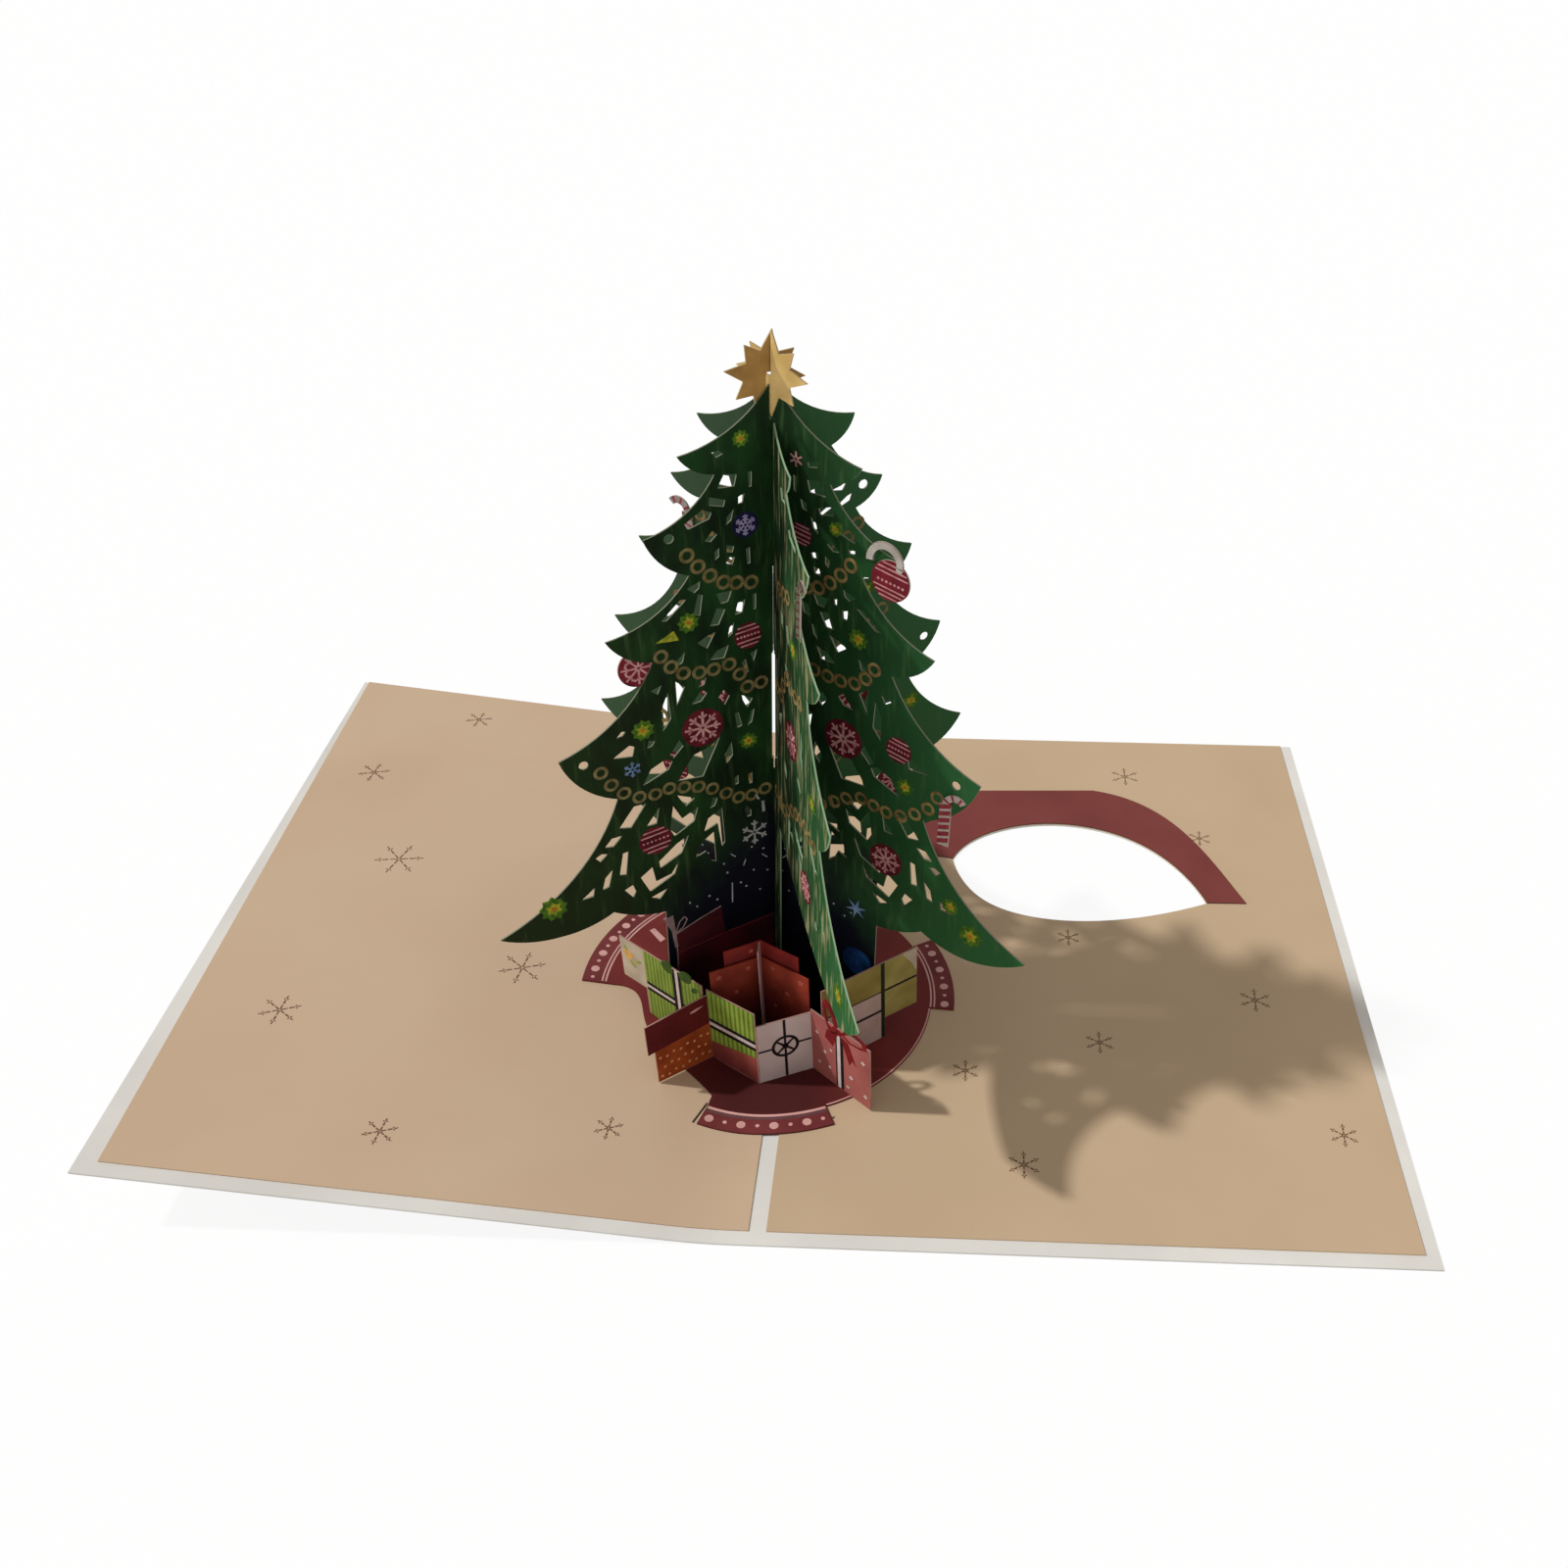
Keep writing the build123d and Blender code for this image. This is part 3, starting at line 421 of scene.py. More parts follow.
def fir_paper(name, shade, branch, tip, stroke, stroke_start=0.56, trunk=True, painted_sheen=None):
    """Painted fir: shade near the trunk, branch green, other tips and loose brush strokes. The
    trunk is night blue, and the half of a sheet behind the trunk may be lightened with painted
    sheen, where the sun grazes its satin face."""
    made = paper(name, branch, shade, 0.006, (1, 1, 0.45), fibre=0.12, roughness=0.6, gleam=0.08)
    tree = made.node_tree
    shader = tree.nodes["Principled BSDF"]
    painted = shader.inputs["Base Color"].links[0].from_socket
    place, _, along, up = place_parts(tree)
    reach = trunk_reach(tree)
    outward = tinted(tree, rise_between(tree, reach, branch_foot * mm, branch_tip * mm), painted, tip)
    lie = tree.nodes.new("ShaderNodeMapping")
    lie.inputs["Rotation"].default_value = (0, brush_lean, 0)
    lie.inputs["Scale"].default_value = (1, 1, brush_length_scale)
    tree.links.new(place, lie.inputs["Vector"])
    brush = grain(tree, lie.outputs["Vector"], brush_fineness, 4)
    strokes = rise_between(tree, brush, stroke_start, stroke_start + 0.2)
    drawn = tinted(tree, reckon(tree, "MULTIPLY", strokes, stroke_share), outward, stroke)
    # Painted sheen: the half behind the trunk is lightened, where the sun grazes its satin face.
    if painted_sheen:
        on_back = reckon(tree, "GREATER_THAN", along, tree_foot[1] * mm)
        drawn = tinted(tree, reckon(tree, "MULTIPLY", on_back, painted_sheen_share), drawn, painted_sheen)
    if trunk:
        ragged = reckon(tree, "MULTIPLY", grain(tree, place, ragged_fineness, 3), ragged_height * mm)
        level = reckon(tree, "ADD", up, reckon(tree, "MULTIPLY", reach, trunk_slope))
        level = reckon(tree, "ADD", level, ragged)
        above = rise_between(tree, level, trunk_low * mm, trunk_high * mm)
        drawn = tinted(tree, above, night_blue, drawn)
    tree.links.new(drawn, shader.inputs["Base Color"])
    return made


core_grey = (118, 120, 102)
core_pale_green = (150, 178, 142)
fir_left = fir_paper(
    "fir_left_paper", (14, 30, 13), (25, 60, 24), (30, 42, 17), (58, 80, 44), painted_sheen=(52, 98, 58)
)
fir_right = fir_paper(
    "fir_right_paper", (18, 36, 18), (32, 64, 32), (42, 92, 50), (66, 98, 56), painted_sheen=(62, 84, 60)
)
fir_centre = fir_paper(
    "fir_centre_paper", (16, 32, 18), (32, 64, 34), (44, 98, 54), (176, 166, 122), 0.51, trunk=False
)
edge_core_and_shade(fir_left, leaf_ways("right_back")[2], core_grey)
edge_core_and_shade(fir_right, leaf_ways("right_front")[2], core_grey)
core_hidden_green = (20, 36, 22)
centre_tree = fir_centre.node_tree
beside_trunk = rise_between(centre_tree, trunk_reach(centre_tree), 4 * mm, 9 * mm)
centre_core = tinted(centre_tree, beside_trunk, core_hidden_green, core_pale_green)
edge_core_and_shade(fir_centre, leaf_ways("centre_front")[2], centre_core)
finish_node("tree_sheet_left", fir_left)
finish_node("tree_sheet_right", fir_right)
finish_node("tree_sheet_centre", fir_centre)

# The foot of the trunk, printed on both faces of the four outer half trees: burgundy gifts with
# a grey bow and ribbons, a blue dome, and small white dots and strokes like falling snow.
low_gift = [(0.4, 0.4), (26.4, 0.4), (26.4, 25.1), (13.0, 27.4), (0.4, 28.9)]
high_gift = [(26.4, 25.3), (26.3, 31.4), (20.0, 34.2), (14.5, 36.2), (13.6, 27.6)]
low_gift_ink = paper("low_gift_ink", (84, 22, 30), (48, 13, 22), 0.012, gleam=0.08)
high_gift_ink = paper("high_gift_ink", (72, 22, 26), (52, 15, 20), 0.01, gleam=0.08)
gift_rim_ink = paper("gift_rim_ink", (120, 44, 46), (90, 30, 34), 0.004, gleam=0.08)
ribbon_ink = paper("ribbon_ink", (150, 126, 124), (120, 98, 98), 0.004, gleam=0.1)
snow_ink = paper("snow_ink", (168, 172, 176), (120, 126, 134), 0.003, gleam=0.1)
dome_ink = paper("dome_ink", (20, 66, 118), (8, 26, 62), 0.005, gleam=0.1)


def strokes_along(points, width):
    """A line of ink through several points."""
    return [bar(*start, *end, width) for start, end in zip(points, points[1:])]


def print_layers(place, layers):
    """Prints both faces of a sheet, one layer over the other. Each layer goes through the sheet
    and stands a little out of it, to its own level from the middle of the sheet."""
    for name, shapes, ink, level in layers:
        printed(name, shapes, place, -level, level, ink)


rims = strokes_along(low_gift[2:], 0.35)
ribbon_lines = strokes_along(high_gift[1:4], 0.3)
ribbon_lines += strokes_along(
    [(26.5, 31.6), (25.2, 35.0), (24.0, 36.2), (23.3, 35.2), (24.4, 33.0), (26.5, 31.6)], 0.28
)
ribbon_lines += [
    bar(28.0, 37.3, 26.9, 33.0, 2.5, 1.1), bar(26.9, 33.0, 26.3, 27.2, 1.0, 0.8),
    bar(26.2, 27.2, 26.2, 18.0, 0.3),
]
snow_marks = [
    bar(11.4, 42.5, 11.5, 36.3, 0.3), bar(2.2, 47.4, 3.6, 48.8, 0.3), bar(7.8, 48.6, 8.4, 46.8, 0.3),
    bar(10.4, 50.2, 11.6, 51.4, 0.3), bar(3.0, 61.4, 3.2, 64.6, 0.7), bar(5.0, 66.8, 4.2, 65.4, 0.5),
]
snow_marks += [
    disc(x, y, 0.28, 8) for x, y in (
        (2.2, 43.4), (5.8, 44.6), (9.2, 41.8), (4.2, 38.0), (7.8, 40.2), (17.4, 40.4), (20.6, 38.2),
        (15.4, 38.6), (3.2, 50.4), (22.4, 40.0), (12.6, 46.0), (6.2, 51.8), (13.4, 49.0),
    )
]
for side in ("left_front", "right_front", "left_back", "right_back"):
    prints = [("trunk_snow_" + side, snow_marks, snow_ink, leaf_overprint)]
    if side == "right_front":
        prints.append(("trunk_dome_" + side, [disc(24.6, 25.4, 4.1, 28)], dome_ink, leaf_print))
    else:
        prints += [
            ("low_gift_" + side, [(low_gift, None)], low_gift_ink, leaf_print),
            ("high_gift_" + side, [(high_gift, None)], high_gift_ink, leaf_print),
            ("gift_rims_" + side, rims, gift_rim_ink, leaf_overprint),
            ("gift_ribbons_" + side, ribbon_lines, ribbon_ink, leaf_overprint),
        ]
    print_layers(leaf(side), prints)

# The bead garlands printed in old gold along each branch. The rings stand over some of the cut
# openings, where their centres are open. A half tree has only the rings that fit inside it.
top_row = [(19.3, 131.2), (17.0, 128.3), (14.4, 125.7), (11.5, 123.6), (8.6, 122.9), (5.3, 122.3)]
second_row = [
    (26.0, 109.1), (23.9, 106.1), (21.2, 103.9), (17.6, 103.2), (14.3, 103.2), (10.7, 103.6),
    (8.3, 100.5), (6.6, 96.9), (3.3, 97.2),
]
third_row_left = [
    (41.1, 83.5), (39.0, 79.7), (36.3, 76.7), (32.9, 74.6), (29.2, 74.3), (25.8, 74.9),
    (22.3, 74.2), (18.9, 73.3), (15.6, 71.8), (12.3, 69.5), (9.2, 67.4), (6.0, 67.2), (2.6, 68.0),
]
third_row_right = [
    (43.3, 83.2), (41.2, 79.4), (38.0, 76.5), (34.5, 74.4), (30.7, 73.8), (27.3, 74.2),
    (24.0, 74.7), (20.0, 73.0), (16.8, 70.8), (13.2, 68.6), (9.8, 67.2), (6.2, 67.0), (2.8, 67.8),
]
bead_radius = 1.7
bead_rim = 0.75
garland_ink = paper("garland_ink", (148, 126, 78), (98, 78, 42), 0.002, gleam=0.15)
dull_gold_ink = paper("dull_gold_ink", (128, 116, 76), (92, 80, 46), 0.002, gleam=0.1)
for side, third_row, limits, ink in (
    ("left_front", third_row_left, (50, 50, 50), dull_gold_ink),
    ("right_front", third_row_right, (50, 50, 50), garland_ink),
    ("left_back", third_row_left, (50, 50, 35), garland_ink),
    ("right_back", third_row_left, (50, 50, 35), dull_gold_ink),
    ("centre_front", third_row_left, (13, 23, 34), garland_ink),
):
    beads = [
        hoop(x, y, bead_radius, bead_rim, 18)
        for row, limit in zip((top_row, second_row, third_row), limits) for x, y in row if x < limit
    ]
    print_layers(leaf(side), [("garland_" + side, beads, ink, leaf_overprint)])


# Ornaments printed among the branches: dark red balls with a pale flake or with stripes, small
# flowers in yellow-green, and flakes in pink, lilac, blue and grey.
def striped_spot(x, y, radius, offsets, width=0.36):
    """Stripes inside a round ball, tilted a little, each at a share of the radius."""
    turn = radians(-8)
    shapes = []
    for share in offsets:
        offset = radius * share
        half = (radius ** 2 - offset ** 2) ** 0.5 * 0.94
        ends = [
            (x + run * cos(turn) - offset * sin(turn), y + run * sin(turn) + offset * cos(turn))
            for run in (-half, half)
        ]
        shapes.append(bar(*ends[0], *ends[1], width))
    return shapes


def flake(x, y, radius, arms=8, width=0.42, barb_places=(0.62,)):
    """A printed snowflake with straight arms, and pairs of barbs along each."""
    shapes = []
    for arm in range(arms):
        turn = pi / 2 + 2 * pi * arm / arms
        shapes.append(ray(x, y, 0.3, radius, turn, width))
        for share in barb_places:
            foot_x = x + share * radius * cos(turn)
            foot_y = y + share * radius * sin(turn)
            for side in (-1, 1):
                barb = turn + side * 0.9
                shapes.append(ray(foot_x, foot_y, 0.1, 0.3 * radius, barb, width * 0.8))
    return shapes


def petals(x, y, radius, count, turn, waist=0.55):
    """A small flower as a soft star."""
    outline = []
    for k in range(2 * count):
        share = 1.0 if k % 2 == 0 else waist
        angle = turn + pi * k / count
        outline.append((x + share * radius * cos(angle), y + share * radius * sin(angle)))
    return (outline, None)


ball_ink = paper("ball_ink", (104, 24, 38), (74, 14, 26), 0.003, gleam=0.12)
pink_ink = paper("pink_ink", (206, 156, 152), (172, 110, 114), 0.002, gleam=0.12)
navy_ink = paper("navy_ink", (26, 26, 62), (16, 18, 44), 0.003, gleam=0.1)
sepal_ink = paper("sepal_ink", (84, 116, 30), (44, 84, 24), 0.0012, gleam=0.1)
petal_ink = paper("petal_ink", (170, 164, 44), (112, 128, 34), 0.0012, gleam=0.1)
pollen_ink = paper("pollen_ink", (186, 116, 36), (160, 88, 30), 0.002, gleam=0.1)
lilac_ink = paper("lilac_ink", (160, 150, 184), (132, 120, 160), 0.002, gleam=0.1)
blue_ink = paper("blue_ink", (128, 150, 186), (92, 116, 156), 0.002, gleam=0.1)
grey_ink = paper("grey_ink", (170, 170, 168), (136, 136, 138), 0.002, gleam=0.1)

ball_stripes = (-0.72, -0.4, 0.4, 0.72)
left_balls = [(17.3, 88.9, 4.9, "flake"), (29.8, 61.4, 3.9, "stripes"), (6.2, 109.7, 3.2, "stripes")]
right_balls = [
    (18.7, 88.7, 4.9, "flake"), (31.2, 60.4, 4.3, "flake"), (33.0, 91.4, 3.2, "stripes"),
    (7.1, 134.4, 2.6, "stripes"),
]
left_flowers = [
    (7.1, 154.2, 1.8), (19.6, 115.8, 2.4), (31.0, 91.9, 2.6), (54.8, 49.6, 3.2), (6.5, 82.5, 2.2)
]
right_flowers = [
    (15.4, 138.0, 1.6), (21.7, 114.9, 2.4), (35.1, 82.6, 2.2), (48.8, 55.0, 2.2), (54.5, 49.1, 3.0)
]
centre_balls = [(14.5, 90.1, 4.6, "flake"), (27.1, 58.9, 4.0, "flake")]
centre_flowers = [(15.7, 113.5, 2.4), (31.0, 84.9, 2.4), (52.8, 49.2, 3.2)]
for side, balls, flowers in (
    ("left_front", left_balls, left_flowers),
    ("right_front", right_balls, right_flowers),
    ("left_back", left_balls[:2], left_flowers[1:3]),
    ("right_back", right_balls[:2], right_flowers[1:3]),
    ("centre_front", centre_balls, centre_flowers),
):
    rounds = [disc(x, y, radius, 24) for x, y, radius, motif in balls]
    pale = []
    for x, y, radius, motif in balls:
        if motif == "flake":
            pale += flake(x, y, radius * 0.86, width=0.6, barb_places=(0.6,))
        else:
            pale += striped_spot(x, y, radius, ball_stripes)
            pale += [disc(x + 0.25 * radius * k, y - 0.03 * radius * k, 0.3, 8) for k in range(-3, 4)]
    outer_petals = [petals(x, y, radius * 1.05, 9, 0.1, 0.78) for x, y, radius in flowers]
    inner_petals = [petals(x, y, radius * 0.66, 6, 0.4, 0.6) for x, y, radius in flowers]
    hearts = [disc(x, y, radius * 0.2, 10) for x, y, radius in flowers]
    print_layers(leaf(side), [
        ("balls_" + side, rounds, ball_ink, leaf_print),
        ("ball_flakes_" + side, pale, pink_ink, leaf_overprint),
        ("sepals_" + side, outer_petals, sepal_ink, leaf_print),
        ("petals_" + side, inner_petals, petal_ink, leaf_print + 0.015),
        ("pollen_" + side, hearts, pollen_ink, leaf_overprint + 0.01),
    ])

lilac_flake = flake(6.4, 135.6, 2.3, 6, barb_places=(0.4, 0.7))
yellow_flag = [([(22.9, 114.6), (27.0, 112.5), (21.8, 112.1)], None)]
print_layers(leaf("left_front"), [
    ("navy_spot_left", [disc(6.4, 135.6, 2.9, 20)], navy_ink, leaf_print),
    ("lilac_flake_left", lilac_flake, lilac_ink, leaf_overprint),
    ("blue_flake_left", flake(34.0, 82.4, 2.0, 6), blue_ink, leaf_overprint),
    ("grey_flake_left", flake(5.4, 56.0, 3.5, 6, 0.5), grey_ink, leaf_overprint),
])
print_layers(leaf("right_front"), [
    ("red_flake_right", flake(5.7, 150.3, 1.6, 6, barb_places=()), pink_ink, leaf_overprint),
    ("blue_star_right", [petals(23.8, 42.0, 3.0, 6, 0.3, 0.3)], blue_ink, leaf_overprint),
    ("grey_flake_right", flake(5.4, 52.0, 3.0, 6), grey_ink, leaf_overprint),
])
print_layers(leaf("left_front"), [("flag_left", yellow_flag, petal_ink, leaf_overprint)])

# The two gold stars slotted through each other at the top of the tree: flat gold card with a satin
# face. The one that turns away from the window light is a darker gold, as painted shade.
gold_front = paper("gold_front_card", (220, 188, 120), (196, 162, 94), 0.006, roughness=0.42)
# Painted shade: the same gold card, darker for the star that turns away from the light.
gold_painted_shade = paper("gold_side_card", (170, 128, 60), (136, 98, 40), 0.006, roughness=0.42)
core_gold = (176, 152, 108)
edge_core_and_shade(gold_front, leaf_ways("right_front")[2], core_gold)
edge_core_and_shade(gold_painted_shade, leaf_ways("right_back")[2], core_gold)
finish_node("star_front", gold_front)
finish_node("star_side", gold_painted_shade)

# The flat ornaments hung on the branches. Two round baubles of dark red card have a pale hook,
# one with pink stripes and dots and one with a flake. Three pale canes have red slanted stripes.
core_cream = (170, 160, 146)
bauble_card = paper("bauble_card", (124, 32, 44), (94, 20, 32), 0.004, gleam=0.15)
cane_card = paper("cane_card", (194, 178, 170), (172, 152, 146), 0.003, gleam=0.15)
grey_cane_card = paper("grey_cane_card", (162, 154, 146), (134, 124, 118), 0.003, gleam=0.15)
dull_cane_card = paper("dull_cane_card", (112, 108, 90), (84, 82, 64), 0.003, gleam=0.1)
hook_ink = paper("hook_ink", (188, 182, 172), (160, 152, 142), 0.003, gleam=0.15)
ornament_half = 0.2
ornament_level = 0.4
right_bauble = (29.1, 131.0)
left_bauble = (30.9, 107.3)
for node, side, base in (
    ("bauble_right_front", "right_front", bauble_card),
    ("bauble_left_front", "left_front", bauble_card),
    ("candy_cane_right", "right_front", cane_card),
    ("candy_cane_centre", "centre_front", dull_cane_card),
    ("candy_cane_left", "left_back", grey_cane_card),
):
    card = base.copy()
    card.name = node + "_card"
    edge_core_and_shade(card, leaf_ways(side)[2], core_cream)
    finish_node(node, card)

fine_stripes = (-0.86, -0.64, -0.42, 0.32, 0.56, 0.8)
right_prints = striped_spot(*right_bauble, 4.4, fine_stripes, width=0.3)
right_dots = [
    disc(right_bauble[0] - 2.9 + 0.97 * k, right_bauble[1] - 0.1 - 0.13 * k, 0.32, 10) for k in range(7)
]
left_prints = flake(*left_bauble, 3.9, 8, 0.46, (0.6,))
speck_turns = [pi * (k + 0.5) / 4 for k in range(8)]
left_specks = [
    disc(left_bauble[0] + 3.0 * cos(t), left_bauble[1] + 3.0 * sin(t), 0.3, 8) for t in speck_turns
]
reach_in = ornament_half + ink_sunk
reach_out = ornament_half + ink_proud
for side, (x, y), marks, extra in (
    ("right", right_bauble, right_prints, right_dots),
    ("left", left_bauble, left_prints, left_specks),
):
    low, high = ornament_level - reach_in, ornament_level + reach_out
    hook = arc_band(2.85, 4.35, -20, 185, 14, (x - 1.6, y + 3.6))
    for name, shapes, ink in (
        ("bauble_hook_" + side, [hook], hook_ink),
        ("bauble_pattern_" + side, marks, pink_ink),
        ("bauble_detail_" + side, extra, pink_ink),
    ):
        printed(name, shapes, leaf(side + "_front"), low, high, ink)


def cane_twist(x, y, width):
    """Slanted stripes down the stick of a cane and round its crook."""
    half, slant, spacing = 1.38, 1.1, 1.85
    shapes = []
    for number in range(6):
        low = y - 10.8 + spacing * number
        shapes.append(([
            (x - half, low), (x + half, low + slant),
            (x + half, low + slant + width), (x - half, low + width),
        ], None))
    for number in range(3):
        turn = radians(160 - 45 * number)
        later = turn - radians(13)
        shapes.append(([
            (x + 2.4 + radius * cos(t), y + radius * sin(t))
            for t, radius in ((turn, 3.18), (later, 3.18), (later, 1.62), (turn, 1.62))
        ], None))
    return shapes


twist_ink = paper("twist_ink", (156, 62, 68), (130, 46, 54), 0.002, gleam=0.15)
dull_twist = paper("dull_twist_ink", (92, 56, 50), (72, 42, 38), 0.002, gleam=0.1)
for name, side, x, y, level, width, ink in (
    ("cane_twist_right", "right_front", 45.6, 82.6, ornament_level, 1.2, twist_ink),
    ("cane_twist_centre", "centre_front", 20.6, 130.0, ornament_level, 0.5, dull_twist),
    ("cane_twist_left", "left_back", 22.4, 130.5, -ornament_level, 0.5, twist_ink),
):
    stripes = cane_twist(x, y, width)
    twist = printed(name, stripes, leaf(side), level - reach_in, level + reach_out, ink)

# The gifts at the foot of the tree: folded strips of card that stand upright, each flat panel
# printed as the side of a parcel. Bare card shows on their cut edges.
gift_print = 0.2
gift_overprint = 0.225


def wall(start, end):
    """Places a point on an upright panel: along its foot from start, and its height."""
    length = hypot(end[0] - start[0], end[1] - start[1])
    run = Vector(((end[0] - start[0]) / length, (end[1] - start[1]) / length, 0))
    side = Vector((run.y, -run.x, 0))
    foot = Vector((start[0], start[1], 0))

    def place(along, height, level):
        return (foot + run * along + side * level + Vector((0, 0, height))) * mm

    return place


def panel(left, right, low, high):
    """A plain rectangle of ink on a panel."""
    return ([(left, low), (right, low), (right, high), (left, high)], None)


def footed(place, left, right, high, clear=0.06):
    """A field of ink from the skirt up to a height, on a panel that may stand on the bend."""
    lows = [on_pages(place(along, 0, 0).x / mm, 0, skirt_top).z / mm + clear for along in (left, right)]
    return ([(left, lows[0]), (right, lows[1]), (right, high), (left, high)], None)


def blob(x, y, width, height, tilt):
    """A soft oval."""
    sides = 16
    points = []
    for k in range(sides):
        t = 2 * pi * k / sides
        a, b = width / 2 * cos(t), height / 2 * sin(t)
        points.append((x + a * cos(tilt) - b * sin(tilt), y + a * sin(tilt) + b * cos(tilt)))
    return (points, None)


def fading(name, light, dark, low_light, low_dark, low, high, blotch=180):
    """Card that changes from one pair of tones at its foot to another at its top. On the box walls the
    darker foot is painted shade.
    """
    made = paper(name, light, dark, 0.006, roughness=0.6, gleam=0.15)
    tree = made.node_tree
    shader = tree.nodes["Principled BSDF"]
    upper = shader.inputs["Base Color"].links[0].from_socket
    place, _, _, up = place_parts(tree)
    foot = tinted(tree, grain(tree, place, blotch, 4), low_dark, low_light)
    rise = rise_between(tree, up, low * mm, high * mm)
    tree.links.new(tinted(tree, rise, foot, upper), shader.inputs["Base Color"])
    return made


edge_card = paper("edge_card", (176, 138, 128), (156, 116, 108), 0.006)
# Painted shade: the box walls darken towards their feet deep inside the box, and the tall strip darkens
# below the top of the box walls in front of it.
inside_card = fading("inside_card", (152, 60, 42), (122, 44, 33), (82, 22, 22), (60, 16, 19), 5, 25)
tall_card = fading("tall_card", (136, 42, 36), (114, 32, 30), (86, 24, 24), (66, 18, 20), 24, 33)
divider_card = paper("divider_card", (184, 144, 142), (156, 118, 118), 0.004)
for node, card in (
    ("gift_front_strip", edge_card), ("gift_box_back", inside_card), ("gift_tall_back", tall_card),
    ("gift_divider", divider_card), ("gift_left_strip", edge_card.copy()),
    ("gift_right_strip", edge_card.copy()),
):
    finish_node(node, card)

# Orange parcel with its dark red lid, printed on the first panel of the front strip: rows of
# small peach spots under the lid, and a pale gleam on it.
orange_wall = wall((-16.9, -44.8), (-28.6, -55.4))
orange_ink = paper("orange_ink", (164, 76, 32), (136, 56, 22), 0.006, gleam=0.15)
lid_ink = paper("lid_ink", (100, 27, 25), (82, 19, 21), 0.008, gleam=0.15)
peach_ink = paper("peach_ink", (226, 160, 104), (206, 132, 80), 0.002)
lid_gleam = [([(1.4, 20.2), (3.6, 19.6), (5.2, 19.7), (5.0, 20.2), (3.5, 20.4)], None)]
spot_rows = (4.4, 7.5, 10.6)
last_spot = 15.3
peach_spots = []
for row, height in enumerate(spot_rows):
    for number in range(8):
        along = 1.0 + 1.95 * number + (0.9 if row == 1 else 0)
        if along < last_spot:
            peach_spots.append(disc(along, height + (0.3 if number % 2 else -0.2), 0.4, 10))
print_layers(orange_wall, [
    ("orange_side", [footed(orange_wall, 0.2, 15.75, 13.58)], orange_ink, gift_print),
    ("orange_lid", [panel(0.2, 17.65, 13.62, 22.76)], lid_ink, gift_print),
    ("orange_spots", peach_spots, peach_ink, gift_overprint),
    ("lid_gleam", lid_gleam, line_ink, gift_overprint),
])

# Green parcel, printed on the second panel: upright stripes in two greens, a white ribbon with
# black edges, and a mottled salmon foot.
green_wall = wall((-16.9, -44.8), (-4.4, -52.8))
leaf_green = paper("leaf_green_ink", (148, 164, 70), (132, 150, 58), 0.004, gleam=0.15)
moss_green = paper("moss_green_ink", (98, 128, 40), (80, 112, 32), 0.004, gleam=0.15)
salmon_ink = fading("salmon_ink", (156, 78, 68), (126, 56, 50), (146, 72, 66), (98, 36, 38), 3, 9, 320)
black_ink = paper("black_ink", (30, 24, 26), (20, 16, 18), 0.004, gleam=0.15)
white_ink = paper("white_ink", (214, 200, 194), (196, 180, 174), 0.004)
green_field = [([(0.2, 7.4), (14.7, 9.8), (14.7, 24.54), (0.2, 24.54)], None)]
salmon_field = footed(green_wall, 0.2, 14.7, 9.8)
salmon_field[0][3] = (0.2, 7.4)
stripe = 0.8
stripe_spacing = 1.43
green_stripes = []
for number in range(10):
    left = 0.5 + stripe_spacing * number
    low = 7.6 + 0.165 * left
    right = left + stripe
    green_stripes.append(([(left, low), (right, low + 0.13), (right, 12.1), (left, 12.1)], None))
    green_stripes.append(panel(left, right, 15.4, 24.4))
print_layers(green_wall, [
    ("green_side", green_field, moss_green, gift_print),
    ("green_foot", [salmon_field], salmon_ink, gift_print),
    ("green_stripes", green_stripes, leaf_green, gift_overprint),
    ("green_ribbon_edges", [panel(0.2, 14.7, 12.1, 13.2), panel(0.2, 14.7, 14.3, 15.4)], black_ink,
     gift_overprint),
    ("green_ribbon", [panel(0.2, 14.7, 13.2, 14.3)], white_ink, gift_overprint),
])

# White parcel, printed on the third panel: black cord both ways, tied in a round bow with
# crossed loops.
white_wall = wall((-4.4, -52.8), (8.4, -47.0))
pale_ink = paper("pale_parcel_ink", (204, 188, 186), (190, 172, 168), 0.01)
bow_x, bow_y = 7.1, 11.6
bow_radius = 3.5
cord_half = 0.35
cord_bow = [hoop(bow_x, bow_y, bow_radius, 0.8, 28), disc(bow_x, bow_y, 0.8, 12)]
for turn in (0.75, 2.4, 3.9, 5.55):
    cord_bow.append(ray(bow_x, bow_y, 0, 3.0, turn, 0.8, 0.5))
cord_bow += [
    panel(bow_x - cord_half, bow_x + cord_half, 1.3, bow_y - 3.3),
    panel(bow_x - cord_half, bow_x + cord_half, bow_y + 3.3, 20.3),
    panel(0.25, bow_x - 3.3, 11.3, 11.9), panel(bow_x + 3.3, 13.8, 11.5, 12.1),
]
cord_knot = [panel(bow_x - 0.3, bow_x + 0.3, bow_y - 3.4, bow_y + 3.4)]
print_layers(white_wall, [
    ("white_side", [footed(white_wall, 0.2, 13.85, 20.34)], pale_ink, gift_print),
    ("white_cord", cord_bow, black_ink, gift_overprint),
    ("white_cord_knot", cord_knot, black_ink, gift_overprint - 0.01),
])

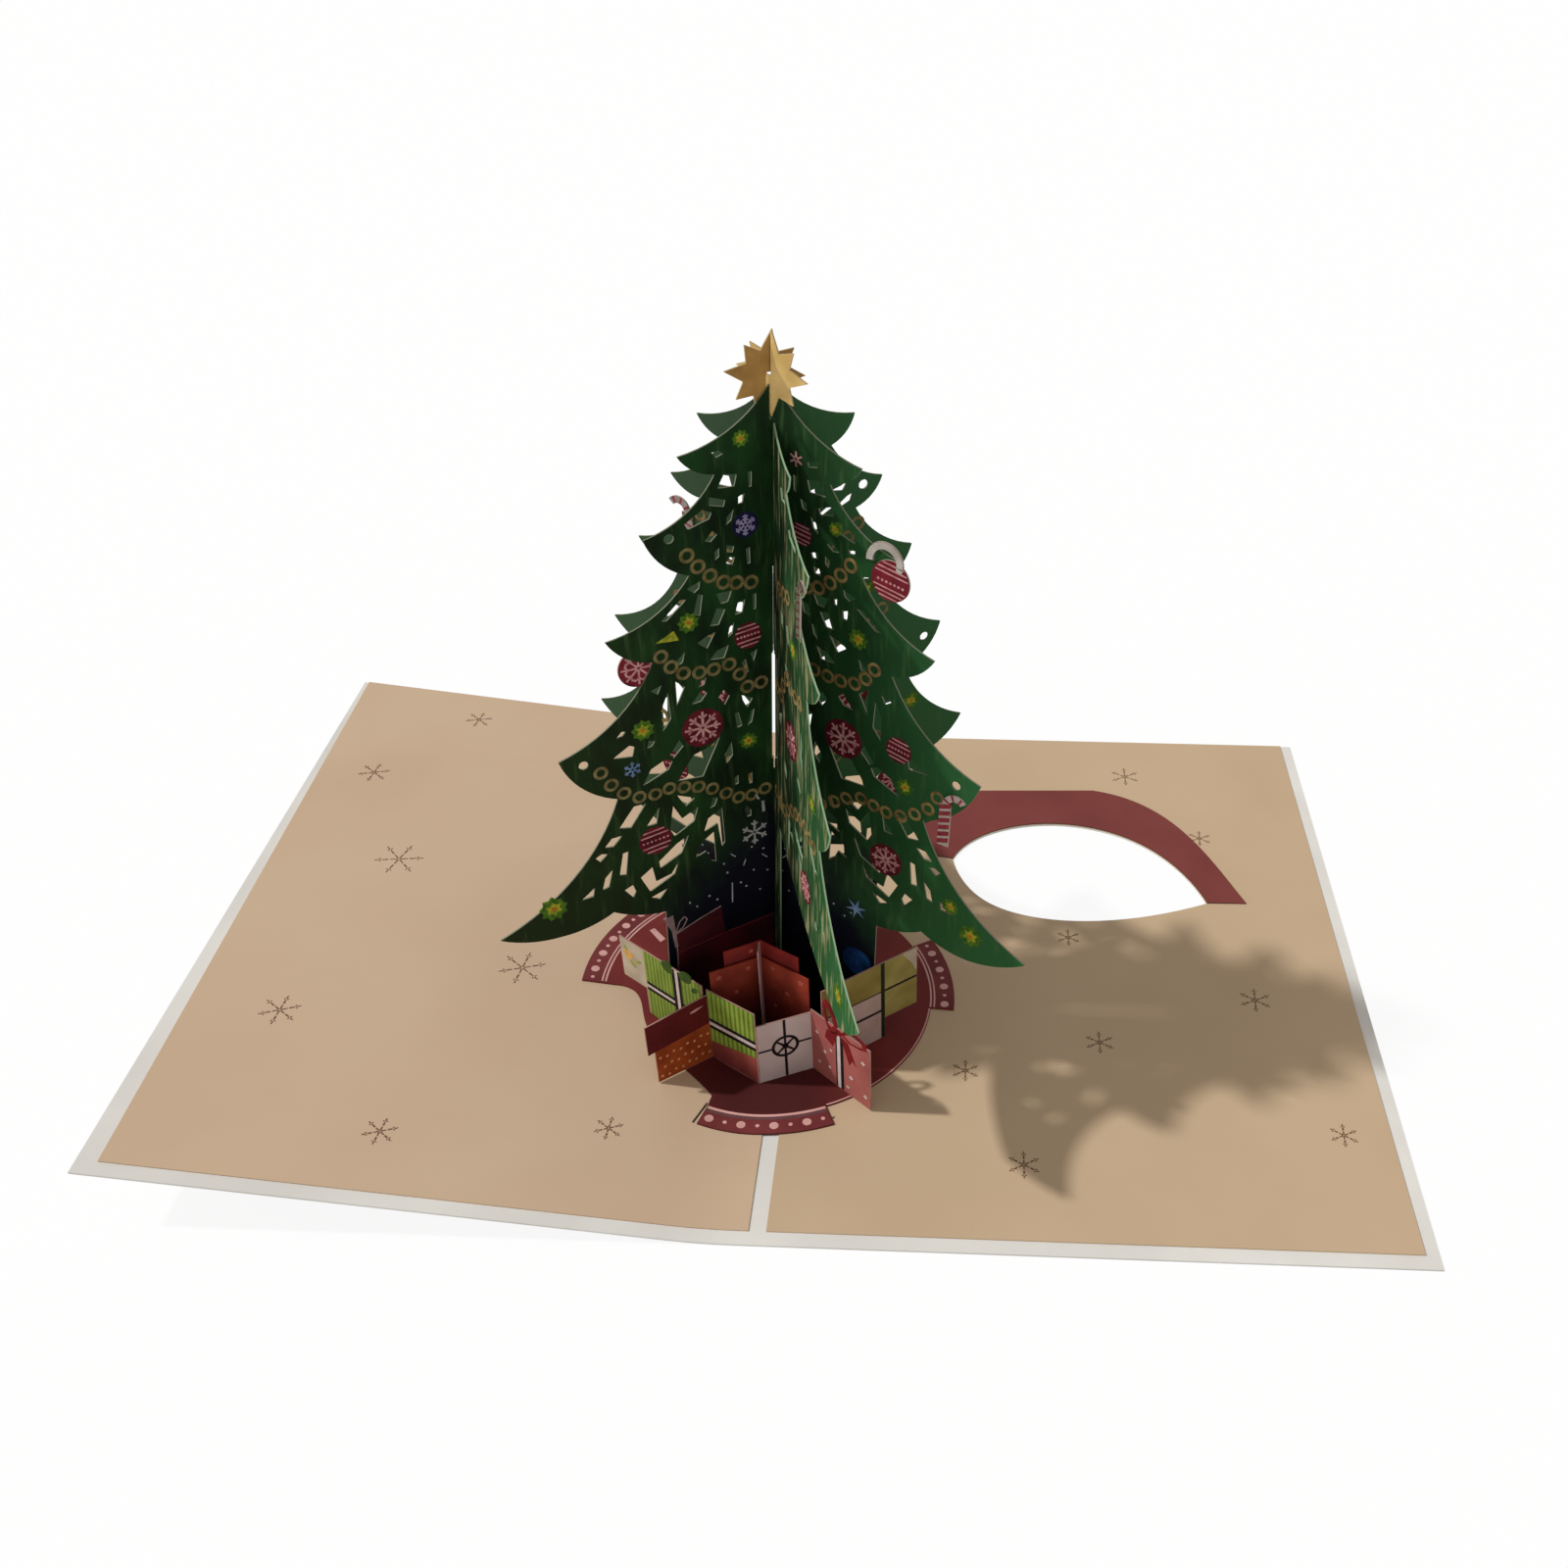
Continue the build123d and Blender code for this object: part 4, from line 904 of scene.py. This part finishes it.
# Pink parcel, printed on the last panel: a white ribbon with dark edges, pale stars, and a dark
# red bow whose loops overlap the top of the parcel.
pink_wall = wall((8.4, -47.0), (23.4, -60.4))
pink_card = paper("pink_card", (172, 98, 92), (150, 80, 76), 0.01)
bow_red = paper("bow_red_ink", (132, 32, 34), (104, 22, 26), 0.004, gleam=0.15)
bow_tails = [
    ([(9.6, 19.8), (7.6, 14.2), (4.9, 15.6), (5.6, 18.6)], None),
    ([(10.2, 19.6), (12.9, 18.8), (15.6, 12.6), (14.2, 13.8), (13.2, 11.6), (11.7, 15.4)], None),
]
left_loop = [
    (9.4, 20.0), (8.0, 18.4), (6.2, 19.0), (4.7, 22.4), (4.2, 26.2), (5.0, 28.0), (6.6, 27.2), (8.2, 24.2)
]
right_loop = [
    (10.2, 20.2), (12.2, 22.6), (15.0, 23.0), (18.6, 22.0), (19.4, 20.6), (17.0, 19.6), (13.4, 19.0)
]


def loop_band(points, inward, middle):
    """A flat loop of ribbon: an outline, and the same outline drawn in towards its middle."""
    inner = [(x + (middle[0] - x) * inward, y + (middle[1] - y) * inward) for x, y in points]
    return (points, inner)


bow_loops = [loop_band(left_loop, 0.42, (6.3, 23.0)), loop_band(right_loop, 0.3, (14.6, 21.0))]
pale_stars = [
    petals(x, y, r, 4, 0.2) for x, y, r in (
        (2.0, 15.2, 0.7), (4.6, 10.2, 0.7), (2.6, 5.4, 0.6), (6.2, 6.0, 0.6), (13.6, 7.6, 0.8),
        (17.8, 15.6, 0.8), (12.4, 3.6, 0.6), (18.4, 4.6, 0.8), (6.8, 12.2, 0.5),
    )
]
print_layers(pink_wall, [
    ("pink_side", [footed(pink_wall, 0.2, 20.05, 21.24)], pink_card, gift_print),
    ("pink_ribbon_edges", [panel(8.5, 9.0, 1.4, 19.0), panel(10.1, 11.1, 1.4, 19.0)], black_ink,
     gift_overprint),
    ("pink_ribbon", [panel(9.0, 10.1, 1.4, 19.0)], white_ink, gift_overprint),
    ("pink_bow", bow_loops + [disc(9.8, 20.2, 1.0, 12)] + bow_tails, bow_red, gift_overprint + 0.015),
    ("pink_stars", pale_stars, white_ink, gift_overprint),
])

# The box of red card behind the front strip: blush flowers printed on its two inner walls, and
# one on the taller strip of card that stands behind it.
blush_ink = paper("blush_ink", (192, 104, 82), (160, 76, 58), 0.002)
box_left_flowers = ((3.5, 26.9, 0.8), (11.0, 26.7, 0.9), (6.9, 20.5, 0.7))
box_right_flowers = ((3.6, 27.2, 0.8), (12.0, 26.7, 1.0), (7.7, 20.9, 0.8), (3.8, 15.0, 0.6))
for name, start, end, flowers in (
    ("box_left_spots", (-4.3, -37.6), (-15.9, -43.9), box_left_flowers),
    ("box_right_spots", (-4.3, -37.6), (7.9, -45.1), box_right_flowers),
    ("tall_spots", (-4.3, -36.7), (-12.6, -41.2), ((2.6, 31.4, 0.8),)),
):
    blossoms = [petals(x, y, radius, 5, 0.4) for x, y, radius in flowers]
    print_layers(wall(start, end), [(name, blossoms, blush_ink, gift_overprint)])

# Long strip on the left: striped green parcel with crossed black and white ribbons and dark
# green bows, and a smaller cream parcel with a yellow blossom at its outer end.
left_wall = wall((-17.9, -44.8), (-41.1, -27.3))
lime_ink = paper("lime_ink", (142, 160, 74), (128, 146, 62), 0.004, gleam=0.15)
lime_dark = paper("lime_dark_ink", (106, 132, 46), (90, 116, 38), 0.004, gleam=0.15)
bow_green = paper("bow_green_ink", (66, 88, 34), (46, 68, 24), 0.003, gleam=0.15)
cream_ink = paper("cream_ink", (196, 182, 160), (172, 156, 136), 0.006)
blossom_ink = paper("blossom_ink", (222, 176, 100), (200, 146, 72), 0.002)
lime_stripes = [footed(left_wall, 0.6 + 1.24 * k, 1.2 + 1.24 * k, 25.5, 0.1) for k in range(16)]
ribbon_edges = [
    panel(left, right, low, high)
    for low, high in ((12.5, 13.5), (14.4, 15.4)) for left, right in ((0.3, 7.3), (10.4, 20.3))
]
ribbon_edges += [footed(left_wall, left, right, 25.5, 0.1) for left, right in ((7.3, 8.3), (9.3, 10.4))]
ribbon_cross = [
    footed(left_wall, 8.3, 9.3, 25.5, 0.1), panel(0.3, 7.3, 13.5, 14.4), panel(10.4, 20.3, 13.5, 14.4)
]
lime_bows = [
    blob(11.9, 24.8, 4.2, 3.2, 0.3), blob(5.6, 25.0, 4.6, 3.2, -0.2), blob(2.6, 22.6, 2.8, 1.6, -0.7)
]
cream_sepals = [
    blob(24.9, 18.4, 2.6, 1.0, 0.7), blob(22.6, 20.2, 2.4, 0.9, -0.5), blob(27.0, 22.6, 2.0, 0.9, 1.2)
]
print_layers(left_wall, [
    ("lime_side", [footed(left_wall, 0.2, 20.4, 25.54)], lime_ink, gift_print),
    ("lime_stripes", lime_stripes, lime_dark, gift_print + 0.008),
    ("lime_ribbon_edges", ribbon_edges, black_ink, gift_overprint - 0.005),
    ("lime_ribbon", ribbon_cross, white_ink, gift_overprint - 0.005),
    ("lime_bows", lime_bows, bow_green, gift_overprint),
    ("cream_side", [panel(20.4, 28.9, 12.6, 25.54)], cream_ink, gift_print),
    ("cream_sepals", cream_sepals, leaf_green, gift_overprint + 0.01),
    ("cream_blossom", [petals(26.2, 20.8, 2.2, 5, 0.3)], blossom_ink, gift_overprint),
])

# Long strip on the right: olive parcel with a rose lower half and black cords, and a smaller
# olive parcel at its outer end with one cord round it.
right_wall = wall((10.9, -46.6), (33.2, -29.5))
olive_ink = paper("olive_ink", (146, 130, 70), (124, 108, 52), 0.008, gleam=0.15)
olive_deep = paper("olive_deep_ink", (160, 146, 84), (130, 118, 60), 0.008, gleam=0.15)
rose_ink = paper("rose_ink", (192, 168, 160), (174, 146, 138), 0.01)
painted_fold_shade_ink = paper("painted_fold_shade_ink", (36, 44, 26), (26, 34, 20), 0.006, gleam=0.15)
cords = [panel(0.2, 17.4, 10.4, 11.2), panel(0.2, 17.4, 17.0, 17.35)]
corner = [([(23.6, 26.5), (28.0, 26.5), (28.0, 19.0), (26.4, 22.2)], None)]
print_layers(right_wall, [
    ("olive_top", [panel(0.2, 17.4, 17.2, 26.54)], olive_ink, gift_print),
    ("rose_foot", [footed(right_wall, 0.2, 17.4, 17.2)], rose_ink, gift_print),
    ("olive_cords", cords, black_ink, gift_overprint),
    # Painted shade: a dark green strip at the fold between the two olive parcels.
    ("olive_shade", [footed(right_wall, 17.2, 18.35, 26.54)], painted_fold_shade_ink, gift_print),
    ("olive_end", [panel(18.35, 28.0, 7.9, 26.54)], olive_deep, gift_print),
    ("olive_end_cords", [panel(18.4, 28.0, 16.8, 17.5)], black_ink, gift_overprint),
    ("olive_end_corner", corner, cream_ink, gift_overprint - 0.01),
])

# The table under the card: a plain pale floor, matte where it keeps the card's soft shadow, and
# mixed with plain white where it is looked at, so that it reads as a white ground.
floor_half = 6000 * mm
floor_mesh = bpy.data.meshes.new("floor")
floor_mesh.from_pydata(
    [(x * floor_half, y * floor_half, 0) for x, y in ((-1, -1), (1, -1), (1, 1), (-1, 1))],
    [], [(0, 1, 2, 3)],
)
floor_piece = bpy.data.objects.new("floor", floor_mesh)
bpy.context.scene.collection.objects.link(floor_piece)
floor_paint = bpy.data.materials.new("floor_paint")
floor_paint.use_nodes = True
floor_tree = floor_paint.node_tree
floor_tree.nodes.clear()
floor_out = floor_tree.nodes.new("ShaderNodeOutputMaterial")
matte = floor_tree.nodes.new("ShaderNodeBsdfDiffuse")
matte.inputs["Color"].default_value = (0.93, 0.93, 0.93, 1)
white = floor_tree.nodes.new("ShaderNodeEmission")
white.inputs["Color"].default_value = (1, 1, 1, 1)
white_share = 0.9


def seen_by_camera(tree, other):
    """1 for the camera's rays and for one other kind of ray, and 0 for the rest."""
    light_path = tree.nodes.new("ShaderNodeLightPath")
    return reckon(tree, "MAXIMUM", light_path.outputs["Is Camera Ray"], light_path.outputs[other])


seen = seen_by_camera(floor_tree, "Is Glossy Ray")
floor_blend = floor_tree.nodes.new("ShaderNodeMixShader")
floor_tree.links.new(reckon(floor_tree, "MULTIPLY", seen, white_share), floor_blend.inputs["Fac"])
floor_tree.links.new(matte.outputs["BSDF"], floor_blend.inputs[1])
floor_tree.links.new(white.outputs["Emission"], floor_blend.inputs[2])
floor_tree.links.new(floor_blend.outputs["Shader"], floor_out.inputs["Surface"])
floor_mesh.materials.append(floor_paint)

# Light: a bright window on the left, as in the photograph, and plain pale light all round at
# half strength, which looks nearly white where it is seen behind the floor.
sun_light = bpy.data.lights.new("window_sun", "SUN")
sun_light.energy = 2.3
sun_light.angle = radians(2.8)
sun_lamp = bpy.data.objects.new("window_sun", sun_light)
sun_turn, sun_height = radians(179), radians(47)
towards_sun = Vector((cos(sun_turn) * cos(sun_height), sin(sun_turn) * cos(sun_height), sin(sun_height)))
sun_lamp.rotation_euler = towards_sun.to_track_quat("Z", "Y").to_euler()
bpy.context.scene.collection.objects.link(sun_lamp)
world = bpy.data.worlds.new("studio")
world.use_nodes = True
world_tree = world.node_tree
sky = world_tree.nodes["Background"]
sky.inputs["Color"].default_value = (1, 0.96, 0.925, 1)
sky_strength = 0.5
world_seen = seen_by_camera(world_tree, "Is Transmission Ray")
brighter = reckon(world_tree, "MULTIPLY", world_seen, 1 - sky_strength)
world_tree.links.new(reckon(world_tree, "ADD", brighter, sky_strength), sky.inputs["Strength"])
bpy.context.scene.world = world

# The camera, at the photograph's place: in front of the card, a little to the right of its
# middle and well above it, with the frame shifted so that the card sits where it does there.
# Its distance and the point it looks at are in metres.
camera_turn, camera_height, camera_roll = radians(2.67), radians(37.89), radians(-0.15)
camera_distance = 0.44265
looked_at = Vector((0.0229, 0.04755, 0.0008))
back = Vector((
    sin(camera_turn) * cos(camera_height), -cos(camera_turn) * cos(camera_height), sin(camera_height)
))
lens = bpy.data.cameras.new("camera")
lens.lens = 34.11
lens.sensor_width = 36
lens.shift_x = -0.0671
lens.shift_y = 0.0331
lens.clip_start = 0.01
lens.clip_end = 20
camera = bpy.data.objects.new("camera", lens)
camera.matrix_world = (
    Matrix.Translation(looked_at + back * camera_distance)
    @ back.to_track_quat("Z", "Y").to_matrix().to_4x4() @ Matrix.Rotation(camera_roll, 4, "Z")
)
bpy.context.scene.collection.objects.link(camera)
bpy.context.scene.camera = camera
bpy.context.scene.view_settings.view_transform = "Standard"
